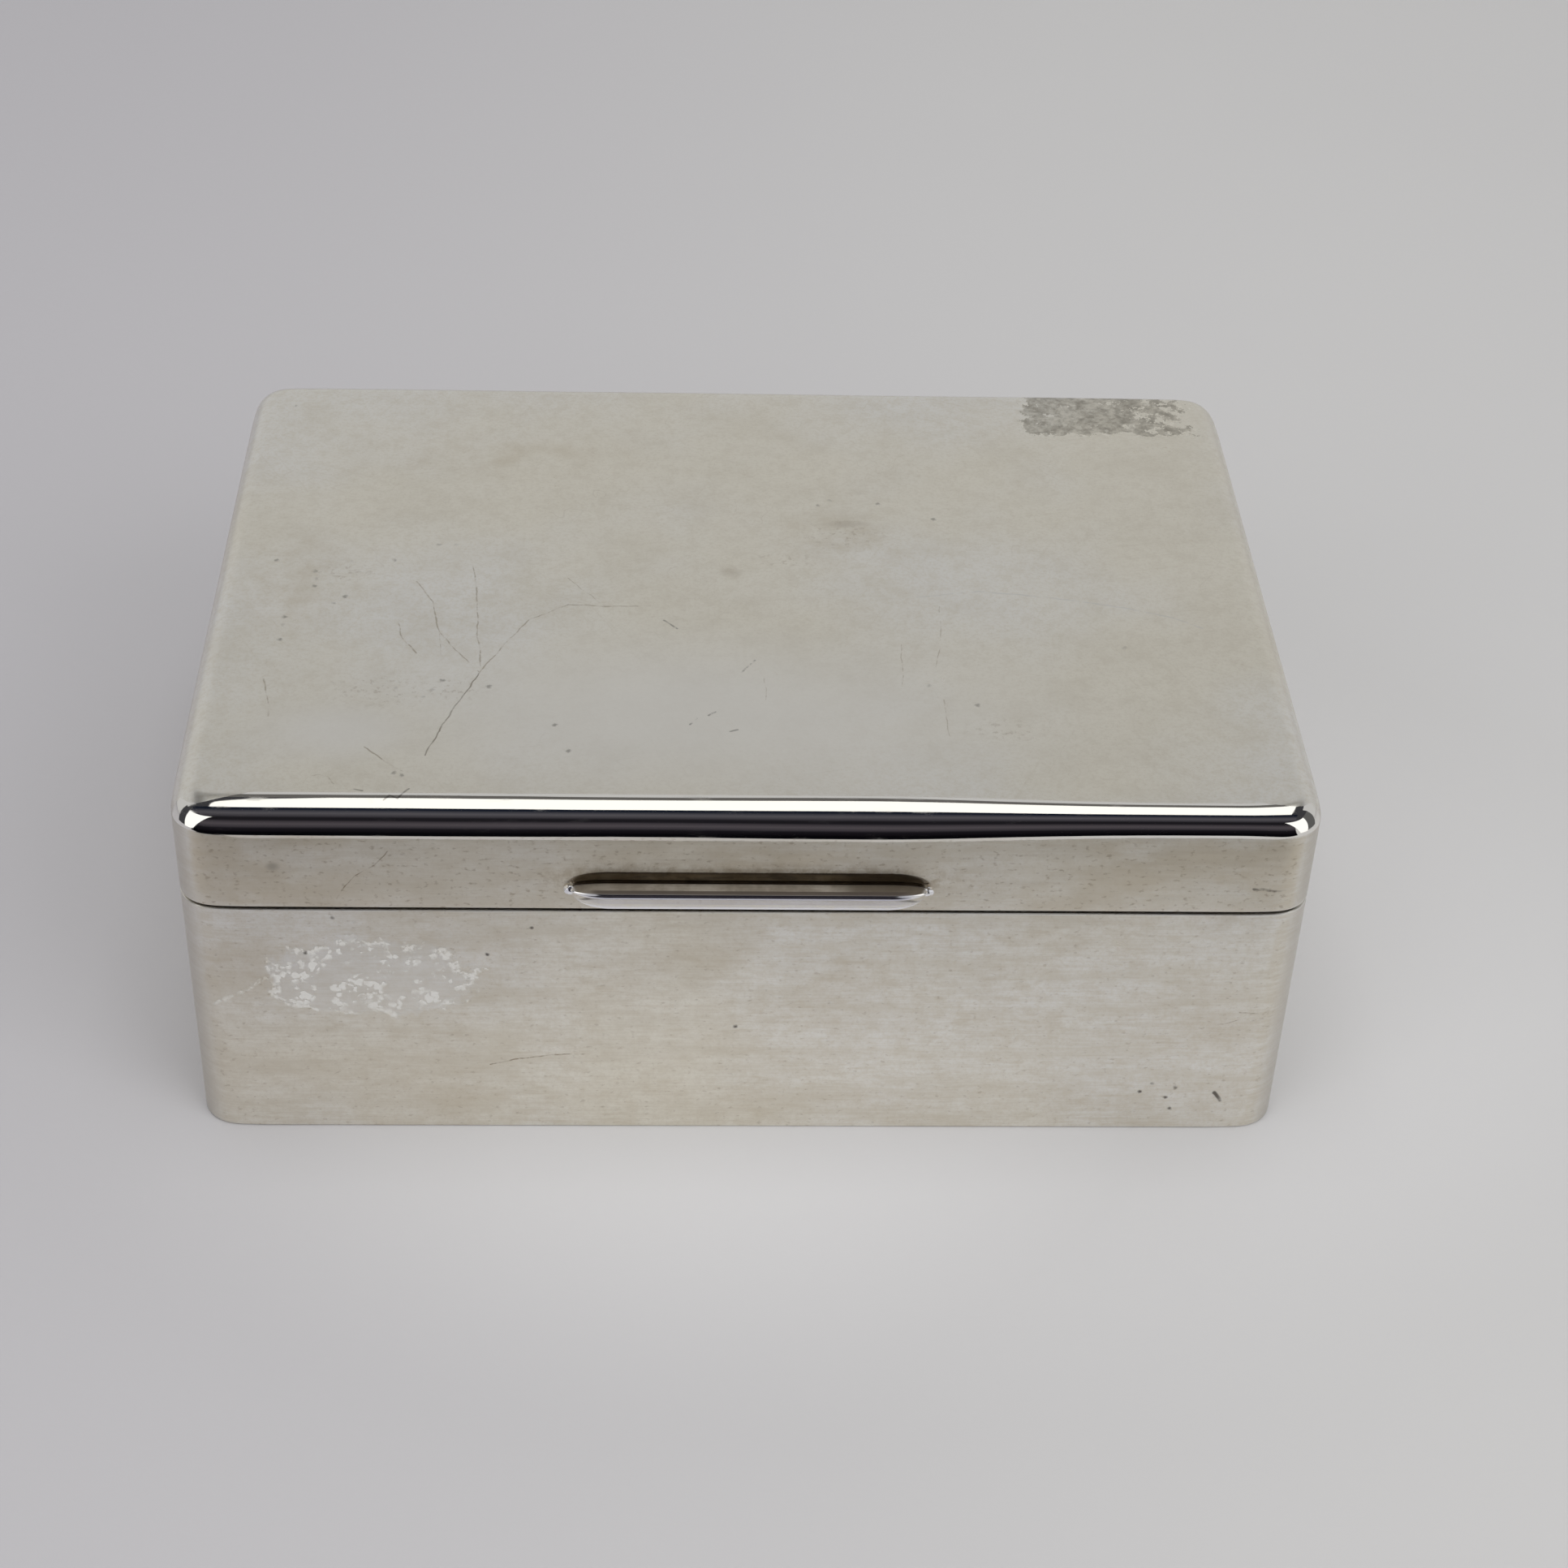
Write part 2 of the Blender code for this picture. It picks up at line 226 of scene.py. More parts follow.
class Result:
    """What a node gives. Signs between results, or between a result and a number, add math nodes."""

    def __init__(self, finish, socket):
        self.finish = finish
        self.socket = socket

    def also(self, output):
        """Something else that the same node gives."""
        return Result(self.finish, self.socket.node.outputs[output])

    def __add__(self, other):
        return self.finish.math("ADD", self, other)

    def __sub__(self, other):
        return self.finish.math("SUBTRACT", self, other)

    def __rsub__(self, other):
        return self.finish.math("SUBTRACT", other, self)

    def __mul__(self, other):
        return self.finish.math("MULTIPLY", self, other)

    def __truediv__(self, other):
        return self.finish.math("DIVIDE", self, other)

    def __abs__(self):
        return self.finish.math("ABSOLUTE", self)


class Finish:
    """One node material, built up in layers. Places and heights are in millimetres."""

    def __init__(self, name):
        self.material = bpy.data.materials.new(name)
        self.material.use_nodes = True
        self.shader = self.material.node_tree.nodes["Principled BSDF"]
        seen = self.node("ShaderNodeTexCoord", output="Object")
        self.normal = seen.also("Normal")
        self.place = self.vector("SCALE", seen, scale=1 / MM)
        self.metallic = 1.0

    def feed(self, socket, value):
        """Links a result to a socket, or sets the socket to a number, a vector or a colour."""
        if isinstance(value, Result):
            self.material.node_tree.links.new(value.socket, socket)
        else:
            socket.default_value = (*value, 1.0) if socket.type == "RGBA" else value

    def node(self, kind, inputs=None, output=0, **settings):
        """What a new node gives at one output. Its inputs go by name or number."""
        node = assign(self.material.node_tree.nodes.new(kind), **settings)
        for key, value in (inputs or {}).items():
            self.feed(node.inputs[key], value)
        return Result(self, node.outputs[output])

    def math(self, operation, *values):
        return self.node("ShaderNodeMath", dict(enumerate(values)), operation=operation)

    def vector(self, operation, *values, scale=None):
        inputs = dict(enumerate(values))
        if scale is not None:
            inputs["Scale"] = scale
        output = "Value" if operation in ("LENGTH", "DISTANCE", "DOT_PRODUCT") else "Vector"
        return self.node("ShaderNodeVectorMath", inputs, output, operation=operation)

    def along(self, axis):
        """How far the place is along an axis."""
        return self.node("ShaderNodeSeparateXYZ", {0: self.place}, axis)

    def facing(self, direction):
        """How far the surface faces that way, from -1 to 1."""
        dot = self.node("ShaderNodeNormal", {0: self.normal}, "Dot")
        dot.also("Normal").socket.default_value = direction
        return dot

    def attribute(self, name):
        return self.node("ShaderNodeAttribute", output="Fac", attribute_name=name)

    def noise(self, size, detail=2.0, roughness=0.5, place=None, distortion=0.0, output="Fac"):
        """Soft noise from 0 to 1, whose waves are about size millimetres long."""
        inputs = {"Vector": place or self.place, "Scale": 1 / size, "Detail": detail}
        inputs |= {"Roughness": roughness, "Distortion": distortion}
        return self.node("ShaderNodeTexNoise", inputs, output)

    def streaks(self, factors, size, detail, turn=0.0):
        """Noise drawn out along the axes that have small factors, after a turn about the upright axis."""
        inputs = {"Vector": self.place, "Rotation": (0, 0, math.radians(turn))}
        inputs["Scale"] = [1 / factor for factor in factors]
        return self.noise(size, detail, place=self.node("ShaderNodeMapping", inputs, vector_type="TEXTURE"))

    def ramp(self, value, low, high, start=0.0, end=1.0):
        """A smooth step of value from low to high, into start to end."""
        inputs = dict(enumerate((value, low, high, start, end)))
        return self.node("ShaderNodeMapRange", inputs, interpolation_type="SMOOTHSTEP", clamp=False)

    def fall(self, value, low, high):
        return self.ramp(value, low, high, 1.0, 0.0)

    def mix(self, share, first, second):
        return self.node("ShaderNodeMix", {0: share, 6: first, 7: second}, 2, data_type="RGBA")

    def mix_value(self, share, first, second):
        return self.node("ShaderNodeMix", {0: share, 2: first, 3: second}, data_type="FLOAT")

    def tint(self, colour, *shares):
        """Lays a colour over the surface, as far as the product of the shares goes."""
        self.colour = self.mix(self.product(*shares), self.colour, colour)

    def most(self, values):
        """The greatest value. A generator keeps the order of the nodes short for the renderer."""
        total = 0.0
        for value in values:
            total = self.math("MAXIMUM", value, total)
        return total

    def product(self, *values):
        return math.prod(values[1:], start=values[0])

    def reach(self, centre, radii, place=None):
        """The distance from centre, as a share of the radii."""
        away = self.vector("SUBTRACT", place or self.place, centre)
        return self.vector("LENGTH", self.vector("MULTIPLY", away, [1 / radius for radius in radii]))

    def spot(self, centre, radii, inner_share=0.1, place=None):
        """1 inside a soft ellipsoid about centre."""
        return self.fall(self.reach(centre, radii, place), inner_share, 1.0)

    def spots(self, placed, rows, place=None):
        """The spots of (pixel, radii) rows, on the face that placed stands for."""
        return self.most(self.spot(placed(pixel), radii, place=place) for pixel, radii in rows)

    def dots(self, placed, pixels, radius, place):
        return self.most(self.spot(placed(pixel), (radius,) * 3, 0.2, place) for pixel in pixels)

    def stroke(self, start, end, width, place):
        """1 on a soft line of that half width from start to end."""
        run = end - start
        away = self.vector("SUBTRACT", place, start)
        along = self.vector("DOT_PRODUCT", away, run / run.length_squared)
        along = self.math("MINIMUM", self.math("MAXIMUM", along, 0.0), 1.0)
        gap = self.vector("DISTANCE", away, self.vector("SCALE", run, scale=along))
        return self.fall(gap, width * 0.35, width)

    def line(self, placed, pixels, width, place):
        points = [placed(pixel) for pixel in pixels]
        return self.most(self.stroke(a, b, width, place) for a, b in zip(points, points[1:]))

    def lines(self, placed, runs, width, place):
        return self.most(self.line(placed, pixels, width, place) for pixels in runs)

    def flecks(self, size, share, place):
        """Small separate crumbs about size millimetres across, in that share of the cells."""
        cell = self.node("ShaderNodeTexVoronoi", {"Vector": place, "Scale": 1 / size}, "Color")
        chosen = self.ramp(self.node("ShaderNodeSeparateColor", {0: cell}), 1 - share, 1.04 - share)
        return self.fall(cell.also("Distance"), 0.42, 0.58) * chosen

    def shaken(self, size, reach):
        """The place, moved about by noise, so that what is drawn there isn't straight."""
        red = self.node("ShaderNodeSeparateColor", {0: self.noise(size, 3, output="Color")})
        wave = self.node("ShaderNodeCombineXYZ", {0: red, 1: red.also(1), 2: red.also(2)})
        offset = self.vector("SUBTRACT", wave, (0.5, 0.5, 0.5))
        return self.vector("ADD", self.place, self.vector("SCALE", offset, scale=reach * 2))

    def ragged(self, value, *waves):
        """A distance whose edge is torn by noise. Waves are (size, reach) in millimetres."""
        for size, reach in waves:
            value += (self.noise(size, 3, 0.65) - 0.5) * (reach * 2)
        return value

    def inside(self, low, high):
        """How many millimetres a place is inside the block from low to high, less than 0 outside."""
        gaps = []
        for axis, start, end in zip("XYZ", low, high):
            value = self.along(axis)
            gaps += [value - start, end - value]
        least = gaps[0]
        for gap in gaps[1:]:
            least = self.math("MINIMUM", least, gap)
        return least

    def finish(self):
        height = sum(self.heights[1:], start=self.heights[0])
        inputs = self.shader.inputs
        self.feed(inputs["Base Color"], self.colour)
        self.feed(inputs["Roughness"], self.roughness)
        self.feed(inputs["Metallic"], self.metallic)
        self.feed(inputs["Normal"], self.node("ShaderNodeBump", {"Distance": MM, "Height": height}))
        return self.material


# Colours of the metal and of what lies on it, with some colours for painted shade and painted reflection
SILVER_CLEAN = (0.90, 0.885, 0.845)
SILVER_WARM = (0.875, 0.84, 0.74)
SILVER_COOL = (0.89, 0.88, 0.845)
SILVER_DULL = (0.73, 0.68, 0.575)
SILVER_BROWN = (0.61, 0.53, 0.395)
# Painted shade on the turns of the upright corners
CORNER_PAINTED_SHADE = (0.56, 0.53, 0.48)
TARNISH = (0.30, 0.225, 0.135)
GRIME = (0.40, 0.31, 0.19)
# Dirt; this colour is also the painted shade along the thumb-piece's crisp edge
DIRT_AND_PAINTED_SHADE = (0.07, 0.055, 0.045)
# Painted reflection: the thumb-piece's dark image in the lid's wall
REFLECTION_PAINT_BROWN = (0.155, 0.120, 0.080)
REFLECTION_PAINT_DARK = (0.070, 0.053, 0.036)
RESIDUE = (0.235, 0.22, 0.185)
RESIDUE_EDGE = (0.56, 0.54, 0.48)
CRUST = (0.69, 0.685, 0.66)
FACE_SILVER = (0.90, 0.905, 0.955)
# Painted reflection and painted shade on the thumb-piece's face
FACE_PAINTED_REFLECTION = (0.74, 0.75, 0.87)
FACE_SHADE = (0.42, 0.41, 0.43)
FILM_PALE = (0.30, 0.27, 0.225)
FILM_BROWN = (0.19, 0.165, 0.13)
FILM_RIGHT = (0.07, 0.055, 0.038)
FILM_LEFT = (0.13, 0.11, 0.085)
FILM_LINES = (0.13, 0.105, 0.08)
STEEL_PALE = (0.58, 0.58, 0.57)
STEEL_BROWN = (0.36, 0.31, 0.26)

# Names of the vertex attributes: how polished the metal is, and the way round a cut in millimetres
POLISH = "polish"
GIRTH = "girth"
UP = (0, 0, 1)

# The rubbing lines on the flat lie in four directions: turn in degrees, and how thin they are
RUBS = ((12, 0.05), (64, 0.03), (118, 0.04), (155, 0.025))


# In the materials, a noise has its size, detail and roughness, a ramp the two values that it runs between,
# and a tint its colour, where it lies, and how strong it is
def worn_silver(name, marks=None):
    """Hazed silver: clouded, brushed on the walls, rubbed on the flat, bright where the edge is polished,
    with painted shade on the turns of the upright corners.
    """
    f = Finish(name)
    upright = f.fall(f.facing(UP), 0.25, 0.6)
    flat = 1 - upright
    polish = f.ramp(f.ragged(f.attribute(POLISH), (1.3, 0.12)), 0.3, 0.6)
    dull = 1 - polish

    mottle = f.noise(6.5, 5, 0.62)
    grain = f.noise(0.42, 3, 0.7)
    f.colour = f.mix(f.ramp(f.noise(34, 3), 0.35, 0.68), SILVER_WARM, SILVER_COOL)
    f.tint(SILVER_DULL, f.ramp(mottle, 0.45, 0.72), 0.25)
    f.tint(SILVER_DULL, f.ramp(grain, 0.42, 0.72), 0.42)
    f.tint(SILVER_DULL, f.ramp(f.noise(1.5, 4, 0.72), 0.44, 0.66), 0.30)
    f.tint(SILVER_BROWN, f.ramp(f.noise(1.1, 3, 0.75), 0.66, 0.74), f.ramp(f.noise(14, 2), 0.45, 0.6), 0.30)

    brushing = f.streaks((0.05, 0.05, 1.0), 0.24, 4)
    strokes = f.streaks((0.16, 0.16, 1.0), 0.55, 3)
    brushed = f.ramp(brushing, 0.42, 0.62) * upright
    f.tint(SILVER_DULL, brushed, 0.26)
    f.tint(SILVER_BROWN, f.ramp(strokes, 0.50, 0.66), f.ramp(f.noise(4.5, 3), 0.42, 0.6), upright, 0.24)
    f.tint(SILVER_BROWN, f.ramp(f.streaks((0.6, 0.6, 1.0), 1.3, 5), 0.42, 0.64), upright, 0.17)
    f.tint(SILVER_DULL, f.ramp(f.streaks((0.14, 0.14, 1.0), 2.6, 4), 0.46, 0.70), upright, 0.45)

    rubs = []
    for turn, thinness in RUBS:
        rub = f.ramp(f.streaks((thinness, 1.0, 1.0), 0.5, 3, turn), 0.60, 0.70)
        rubs.append(rub * f.ramp(f.noise(11 + turn / 9, 2), 0.45, 0.62))
    rubbed = f.most(rubs) * flat
    f.tint(SILVER_DULL, rubbed, 0.20)
    hairs = f.fall(abs(f.noise(13, 2, distortion=0.6) - 0.5), 0.0010, 0.0028)
    f.tint(TARNISH, hairs, f.ramp(f.noise(9, 2), 0.56, 0.64), flat, 0.10)

    aside = abs(f.facing((1, 0, 0)))
    bend = f.product(f.ramp(aside, 0.10, 0.24), f.fall(aside, 0.34, 0.52), upright)
    f.tint(SILVER_DULL, bend, f.ramp(strokes, 0.35, 0.6), 0.5)
    # Painted shade: the turns of the upright corners are darkened by the way they face
    f.tint(CORNER_PAINTED_SHADE, f.ramp(aside, 0.2, 0.85), f.fall(aside, 0.95, 0.995), upright, 0.75)
    # Painted highlight: paler silver on the eased rims along the seam
    to_seam = abs(f.along("Z") - SEAM / MM)
    f.tint(SILVER_CLEAN, f.fall(to_seam, 0.25, 0.5), f.ramp(f.noise(7, 3), 0.42, 0.6), 0.7)
    f.tint(f.mix(f.ramp(mottle, 0.4, 0.8), SILVER_CLEAN, SILVER_COOL), polish)

    haze = f.ramp(f.streaks((0.16, 0.5, 1.0), 0.5, 4), 0.50, 0.68) * f.ramp(f.noise(8, 3), 0.40, 0.6)
    hazed = (mottle - 0.5) * 0.16 + 0.31 + brushed * 0.05
    f.roughness = f.mix_value(polish, hazed, haze * 0.11 + 0.045)
    f.heights = [
        (f.noise(24, 2) - 0.5) * 0.12,
        f.product(brushing, upright, dull, 0.0014),
        f.product(strokes, upright, dull, 0.0030),
        f.product(rubbed, dull, -0.0012),
        f.product(grain, dull, 0.0010),
        f.product(f.streaks((0.06, 0.3, 1.0), 0.4, 3), polish, 0.0005),
    ]
    if marks:
        marks(f)
    return f.finish()


# Marks are placed by the pixels where the photo shows them. Radii and half widths are in millimetres
LID_WARM = (((1040, 665), (12, 8, 1)), ((360, 720), (9, 16, 1)), ((640, 560), (20, 7, 1)))
LID_COOL = (((850, 880), (52, 20, 1)), ((420, 900), (14, 8, 1)))
LID_SMUDGES = (((901, 705), (1.7, 1.5, 1)), ((1042, 646), (3.6, 1.0, 1)))
LID_GRIME = (
    ((965, 690), (5.5, 2.4, 1)), ((425, 705), (5.0, 3.4, 1)), ((470, 850), (8.0, 4.5, 1)),
    ((560, 850), (4.5, 3.6, 1)), ((1040, 660), (7.0, 4.5, 1)), ((1240, 900), (6.0, 3.0, 1)),
)
LID_SCRATCHES = (
    ((524, 930), (548, 890), (572, 855), (593, 826)),
    ((593, 826), (622, 793), (652, 764), (700, 745), (745, 747), (802, 747)),
    ((581, 688), (587, 723), (588, 772), (593, 821)),
    ((514, 716), (534, 743), (541, 778), (561, 800), (590, 828)),
    ((490, 767), (495, 785), (513, 804)),
    ((324, 836), (329, 858), (331, 882)),
    ((448, 921), (468, 934), (480, 942), (496, 950)),
)
LID_FAINT_SCRATCHES = (
    ((541, 778), (544, 815)), ((1158, 748), (1159, 790), (1153, 822)),
    ((1163, 862), (1166, 885), (1170, 908)), ((1111, 785), (1112, 846)), ((942, 834), (945, 862)),
    ((700, 712), (722, 730), (745, 747)), ((374, 965), (380, 957), (392, 954), (405, 957), (411, 966)),
)
LID_DASHES = (
    ((914, 829), (929, 814)), ((874, 882), (882, 877)),
    ((850, 892), (858, 885)), ((818, 764), (834, 775)), ((900, 901), (909, 899)), ((436, 972), (446, 974)),
    ((472, 985), (480, 980), (490, 983), (504, 972)),
)
LID_DEEP_SCRATCH = ((524, 930), (548, 890), (572, 855), (590, 830))
LID_PALE_LINE = ((1130, 736), (1205, 729), (1290, 736), (1380, 748), (1440, 760), (1482, 774))
LID_SPECKS = (
    (541, 672), (486, 690), (388, 704), (388, 713), (388, 722), (433, 692), (437, 718), (425, 735),
    (411, 743), (351, 760), (349, 770), (345, 788), (341, 690), (562, 671), (683, 893), (700, 925),
    (1385, 798), (365, 500), (1150, 640), (1007, 623), (1022, 617), (1059, 608), (1081, 621), (1145, 845),
    (485, 952), (495, 955), (1205, 869), (602, 846), (410, 840), (489, 848), (545, 838), (532, 850),
    (520, 858),
)
RESIDUE_FRONT_LEFT = (1262, 533)
RESIDUE_FRONT_RIGHT = (1468, 533)
LID_WALL_CRACK = ((415, 1107), (424, 1094), (436, 1080), (458, 1068), (478, 1050))
LID_WALL_SMEAR = ((1546, 1096), (1574, 1099), (1600, 1098))
LID_WALL_DASH = ((1572, 1090), (1598, 1091))
LID_WALL_STAIN = (336, 1067)
LID_WALL_BROWN = (900, 1058)
LID_WALL_BROWN_RADII = (22.0, 4.0, 2.6)
LID_WALL_BROWN_LEFT = (-52.0, -30.0)
LID_WALL_BROWN_RIGHT = (18.0, 40.0)
CRUST_CENTRE = (455, 1205)
CRUST_RADII = (10.8, 10.0, 5.2)
CRUST_TAIL = ((256, 1242), (285, 1228), (318, 1212), (336, 1200))
BODY_BROWN = (
    ((280, 1180), (9, 4, 7)), ((900, 1190), (26, 4, 5)),
    ((1480, 1290), (12, 4, 9)), ((600, 1345), (30, 4, 4.5)),
)
BODY_SCRATCHES = (
    (((604, 1311), (640, 1304), (680, 1299), (718, 1299)), 0.12),
    (((1528, 1248), (1552, 1250), (1590, 1246)), 0.17),
    (((1500, 1262), (1560, 1250)), 0.09),
)
BODY_SPECKS = (
    (906, 1265), (1404, 1345), (1420, 1335), (1436, 1352), (1448, 1340), (1440, 1366), (655, 1143),
    (600, 1176), (257, 1212), (410, 1131), (436, 1135), (376, 1174),
)
BODY_CRUMB = ((1496, 1346), (1503, 1356))


def scratching(f):
    """The slightly shaken place where scratches are drawn, and how whole they are along their run."""
    return f.shaken(2.5, 0.3), f.ramp(f.noise(1.6, 3, 0.7), 0.36, 0.56)


def front_wall(f):
    """1 on the front, 0 behind it."""
    return f.fall(f.along("Y"), FRONT / MM + 0.3, FRONT / MM + 0.8)


def lid_marks(f):
    """The old scratches, specks, stains and residue that the photo shows on the lid."""
    f.tint(SILVER_BROWN, f.spots(on_lid, LID_WARM), f.ramp(f.noise(3.5, 4), 0.35, 0.7), 0.30)
    f.tint(SILVER_CLEAN, f.spots(on_lid, LID_COOL), 0.75)
    near, broken = scratching(f)
    scratches = f.lines(on_lid, LID_SCRATCHES, 0.115, near)
    faint = f.lines(on_lid, LID_FAINT_SCRATCHES, 0.08, near)
    f.heights.append(f.most([scratches, faint]) * -0.004)
    f.tint(TARNISH, scratches, broken + 0.20, 0.44)
    f.tint(TARNISH, faint, broken, 0.36)
    f.tint(DIRT_AND_PAINTED_SHADE, f.lines(on_lid, LID_DASHES, 0.16, near), broken, 0.5)
    f.tint(DIRT_AND_PAINTED_SHADE, f.line(on_lid, LID_DEEP_SCRATCH, 0.13, near), 0.30)
    f.tint(CRUST, f.line(on_lid, LID_PALE_LINE, 0.16, near), broken, 0.5)
    specks = f.dots(on_lid, LID_SPECKS, 0.40, f.shaken(0.5, 0.32))
    f.tint(DIRT_AND_PAINTED_SHADE, specks, f.ramp(f.noise(2.2, 2), 0.35, 0.6), 0.50)
    f.tint(TARNISH, f.spots(on_lid, LID_SMUDGES, f.shaken(1.2, 0.7)), 0.25)
    f.tint(TARNISH, f.spots(on_lid, LID_GRIME), f.ramp(f.noise(0.8, 3, 0.7), 0.54, 0.64), 0.26)
    lid_residue(f)
    front = front_wall(f)
    lid_wall_clouds(f, front)
    # The thumb-piece's reflection in the wall above it is painted on, as a dark image
    thumb_reflection(f, front)

    smear = f.line(on_front, LID_WALL_SMEAR, 0.26, f.shaken(1.2, 0.25))
    dash = f.line(on_front, LID_WALL_DASH, 0.12, near)
    stain = f.spot(on_front(LID_WALL_STAIN), (1.0, 1.0, 0.8), place=near) * 0.5
    f.tint(TARNISH, f.line(on_front, LID_WALL_CRACK, 0.09, near), broken + 0.3, 0.55)
    f.tint(DIRT_AND_PAINTED_SHADE, f.most((smear, dash, stain)), broken + 0.3, 0.5)


def lid_residue(f):
    """The torn film of residue at the back of the lid, with its paler edge and crumbs."""
    left, right = on_lid(RESIDUE_FRONT_LEFT), on_lid(RESIDUE_FRONT_RIGHT)
    low = (left.x, left.y, (TOP - LID_EDGE_RADIUS) / MM)
    high = (right.x, DEPTH / 2 / MM + 1, (TOP + LID_EDGE_RADIUS) / MM)
    patch = f.ragged(f.inside(low, high), (5.0, 2.4), (1.5, 1.6), (0.6, 0.7))
    torn = f.ramp(f.along("X"), left.x + 6, right.x + 1, 0.33, 0.52)
    film = f.math("MINIMUM", patch, (f.noise(1.5, 4, 0.7) - torn) * 9.0)
    residue = f.ramp(film, 0.0, 0.25)
    edge = f.product(f.ramp(film, -0.7, -0.1), 1 - residue, f.ramp(patch, -0.9, -0.2))
    f.tint(RESIDUE, residue, f.ramp(f.noise(1.1, 4, 0.7), 0.3, 0.7, 0.55, 0.95))
    crumbs = f.flecks(0.8, 0.10, f.shaken(0.6, 0.25)) * f.ramp(patch, -0.8, 0.2)
    edge = f.most((edge * f.ramp(f.noise(0.8, 3), 0.4, 0.6), crumbs))
    f.tint(RESIDUE_EDGE, edge, 0.55)
    cover = f.most((residue, edge * 0.7))
    f.roughness += cover * 0.22
    f.metallic = f.ramp(cover, 0.0, 1.0, 1.0, 0.45)
    f.heights.append(residue * 0.012)


def lid_wall_clouds(f, front):
    """The front wall of the lid is browner than its top, most at the ends and above the thumb-piece."""
    foot = (TOP - EDGE_RADIUS_LEFT) / MM - 0.3
    wall = front * f.fall(f.along("Z"), foot, (TOP - EDGE_RADIUS_RIGHT) / MM)
    clouds = f.ramp(f.streaks((0.55, 0.55, 1.0), 4.2, 5), 0.36, 0.62)
    along = f.along("X")
    left = f.ramp(along, *LID_WALL_BROWN_LEFT, 1.0, 0.35)
    right = f.ramp(along, *LID_WALL_BROWN_RIGHT, 0.35, 0.85)
    browned = f.most((left, right, f.spot(on_front(LID_WALL_BROWN), LID_WALL_BROWN_RADII, 0.2)))
    f.tint(SILVER_DULL, wall, 0.35)
    f.tint(SILVER_BROWN, wall, browned, clouds, 0.55)
    f.tint(TARNISH, wall, f.ramp(f.streaks((0.6, 0.6, 1.0), 0.45, 4), 0.56, 0.72), 0.42)


# How far the painted dark reflection of the thumb-piece goes up the wall above its ledge
REFLECTED_LEDGE = 1.2 * MM


def thumb_reflection(f, front):
    """The painted reflection of the thumb-piece: its dark image painted on the wall above it, with grime
    about it.
    """
    end = f.math("MAXIMUM", abs(f.along("X")) - THUMB_STRAIGHT / MM, 0.0) / (THUMB_END / MM)
    rise = (f.along("Z") - (LID_RIM + THUMB_HEIGHT) / MM) / (REFLECTED_LEDGE / MM)
    rise = f.math("MAXIMUM", rise, rise * -1.6)
    reach = f.ragged(f.math("SQRT", end * end + rise * rise), (0.5, 0.04))
    shadow = f.fall(reach, 0.95, 1.04) * front
    f.tint(GRIME, f.fall(reach, 0.9, 2.6), f.ramp(f.noise(1.1, 4, 0.7), 0.40, 0.62), front, 0.42)
    # Painted reflection: dark brown streaks where the wall mirrors the thumb-piece
    painted_reflection = f.mix(f.ramp(f.streaks((0.3, 0.3, 1.0), 0.8, 3), 0.40, 0.62), REFLECTION_PAINT_BROWN, REFLECTION_PAINT_DARK)
    f.tint(painted_reflection, shadow, 0.88)
    f.roughness = f.mix_value(shadow * 0.9, f.roughness, 0.12)


def body_marks(f):
    """The crust, scratches and specks that the photo shows on the front of the box."""
    gap = (1 - f.reach(on_front(CRUST_CENTRE), CRUST_RADII)) * 6.0
    gap = f.ragged(gap, (5.0, 2.4), (1.0, 1.0))
    inside = f.ramp(gap, -0.1, 0.5)
    torn = f.shaken(0.7, 0.35)
    fleck = f.ramp(f.noise(0.7, 4, 0.7), 0.40, 0.54)
    outline = f.product(f.ramp(gap, -0.4, 0.0), f.fall(gap, 0.4, 1.1), fleck)
    outline *= f.ramp(f.noise(2.4, 3), 0.42, 0.58)
    clumps = f.most((f.flecks(0.95, 0.5, torn), f.flecks(0.6, 0.45, torn)))
    flakes = f.product(clumps, f.ramp(f.noise(2.6, 4), 0.43, 0.58), f.ramp(gap, 0.0, 1.2))
    tail = f.line(on_front, CRUST_TAIL, 0.38, f.shaken(1.5, 0.5))
    crust = f.most((outline * 0.85, flakes * 0.95, f.product(tail, fleck, 0.6)))
    f.tint(SILVER_COOL, inside, 0.35)
    f.tint(CRUST, crust, 0.88)
    f.roughness += f.most((crust, inside * 0.3)) * 0.22
    f.metallic = f.ramp(crust, 0.0, 1.0, 1.0, 0.15)
    f.heights.append(crust * 0.02)

    front = front_wall(f)
    outside = 1 - inside
    clouds = f.ramp(f.streaks((0.45, 0.45, 1.0), 6.0, 5), 0.42, 0.66)
    browned = f.mix_value(f.spots(on_front, BODY_BROWN), 0.45, 1.0)
    f.tint(SILVER_BROWN, front, browned, clouds, outside, 0.36)
    f.tint(TARNISH, front, outside, f.ramp(f.streaks((0.6, 0.6, 1.0), 0.45, 4), 0.58, 0.74), 0.30)

    near, broken = scratching(f)
    scratches = f.most(f.line(on_front, pixels, width, near) for pixels, width in BODY_SCRATCHES)
    f.tint(TARNISH, scratches, broken + 0.35, 0.6)
    specks = f.dots(on_front, BODY_SPECKS, 0.33, f.shaken(0.5, 0.22))
    specks = f.most((specks, f.line(on_front, BODY_CRUMB, 0.30, near)))
    f.tint(DIRT_AND_PAINTED_SHADE, specks, f.ramp(f.noise(2.2, 2), 0.32, 0.55), 0.85)


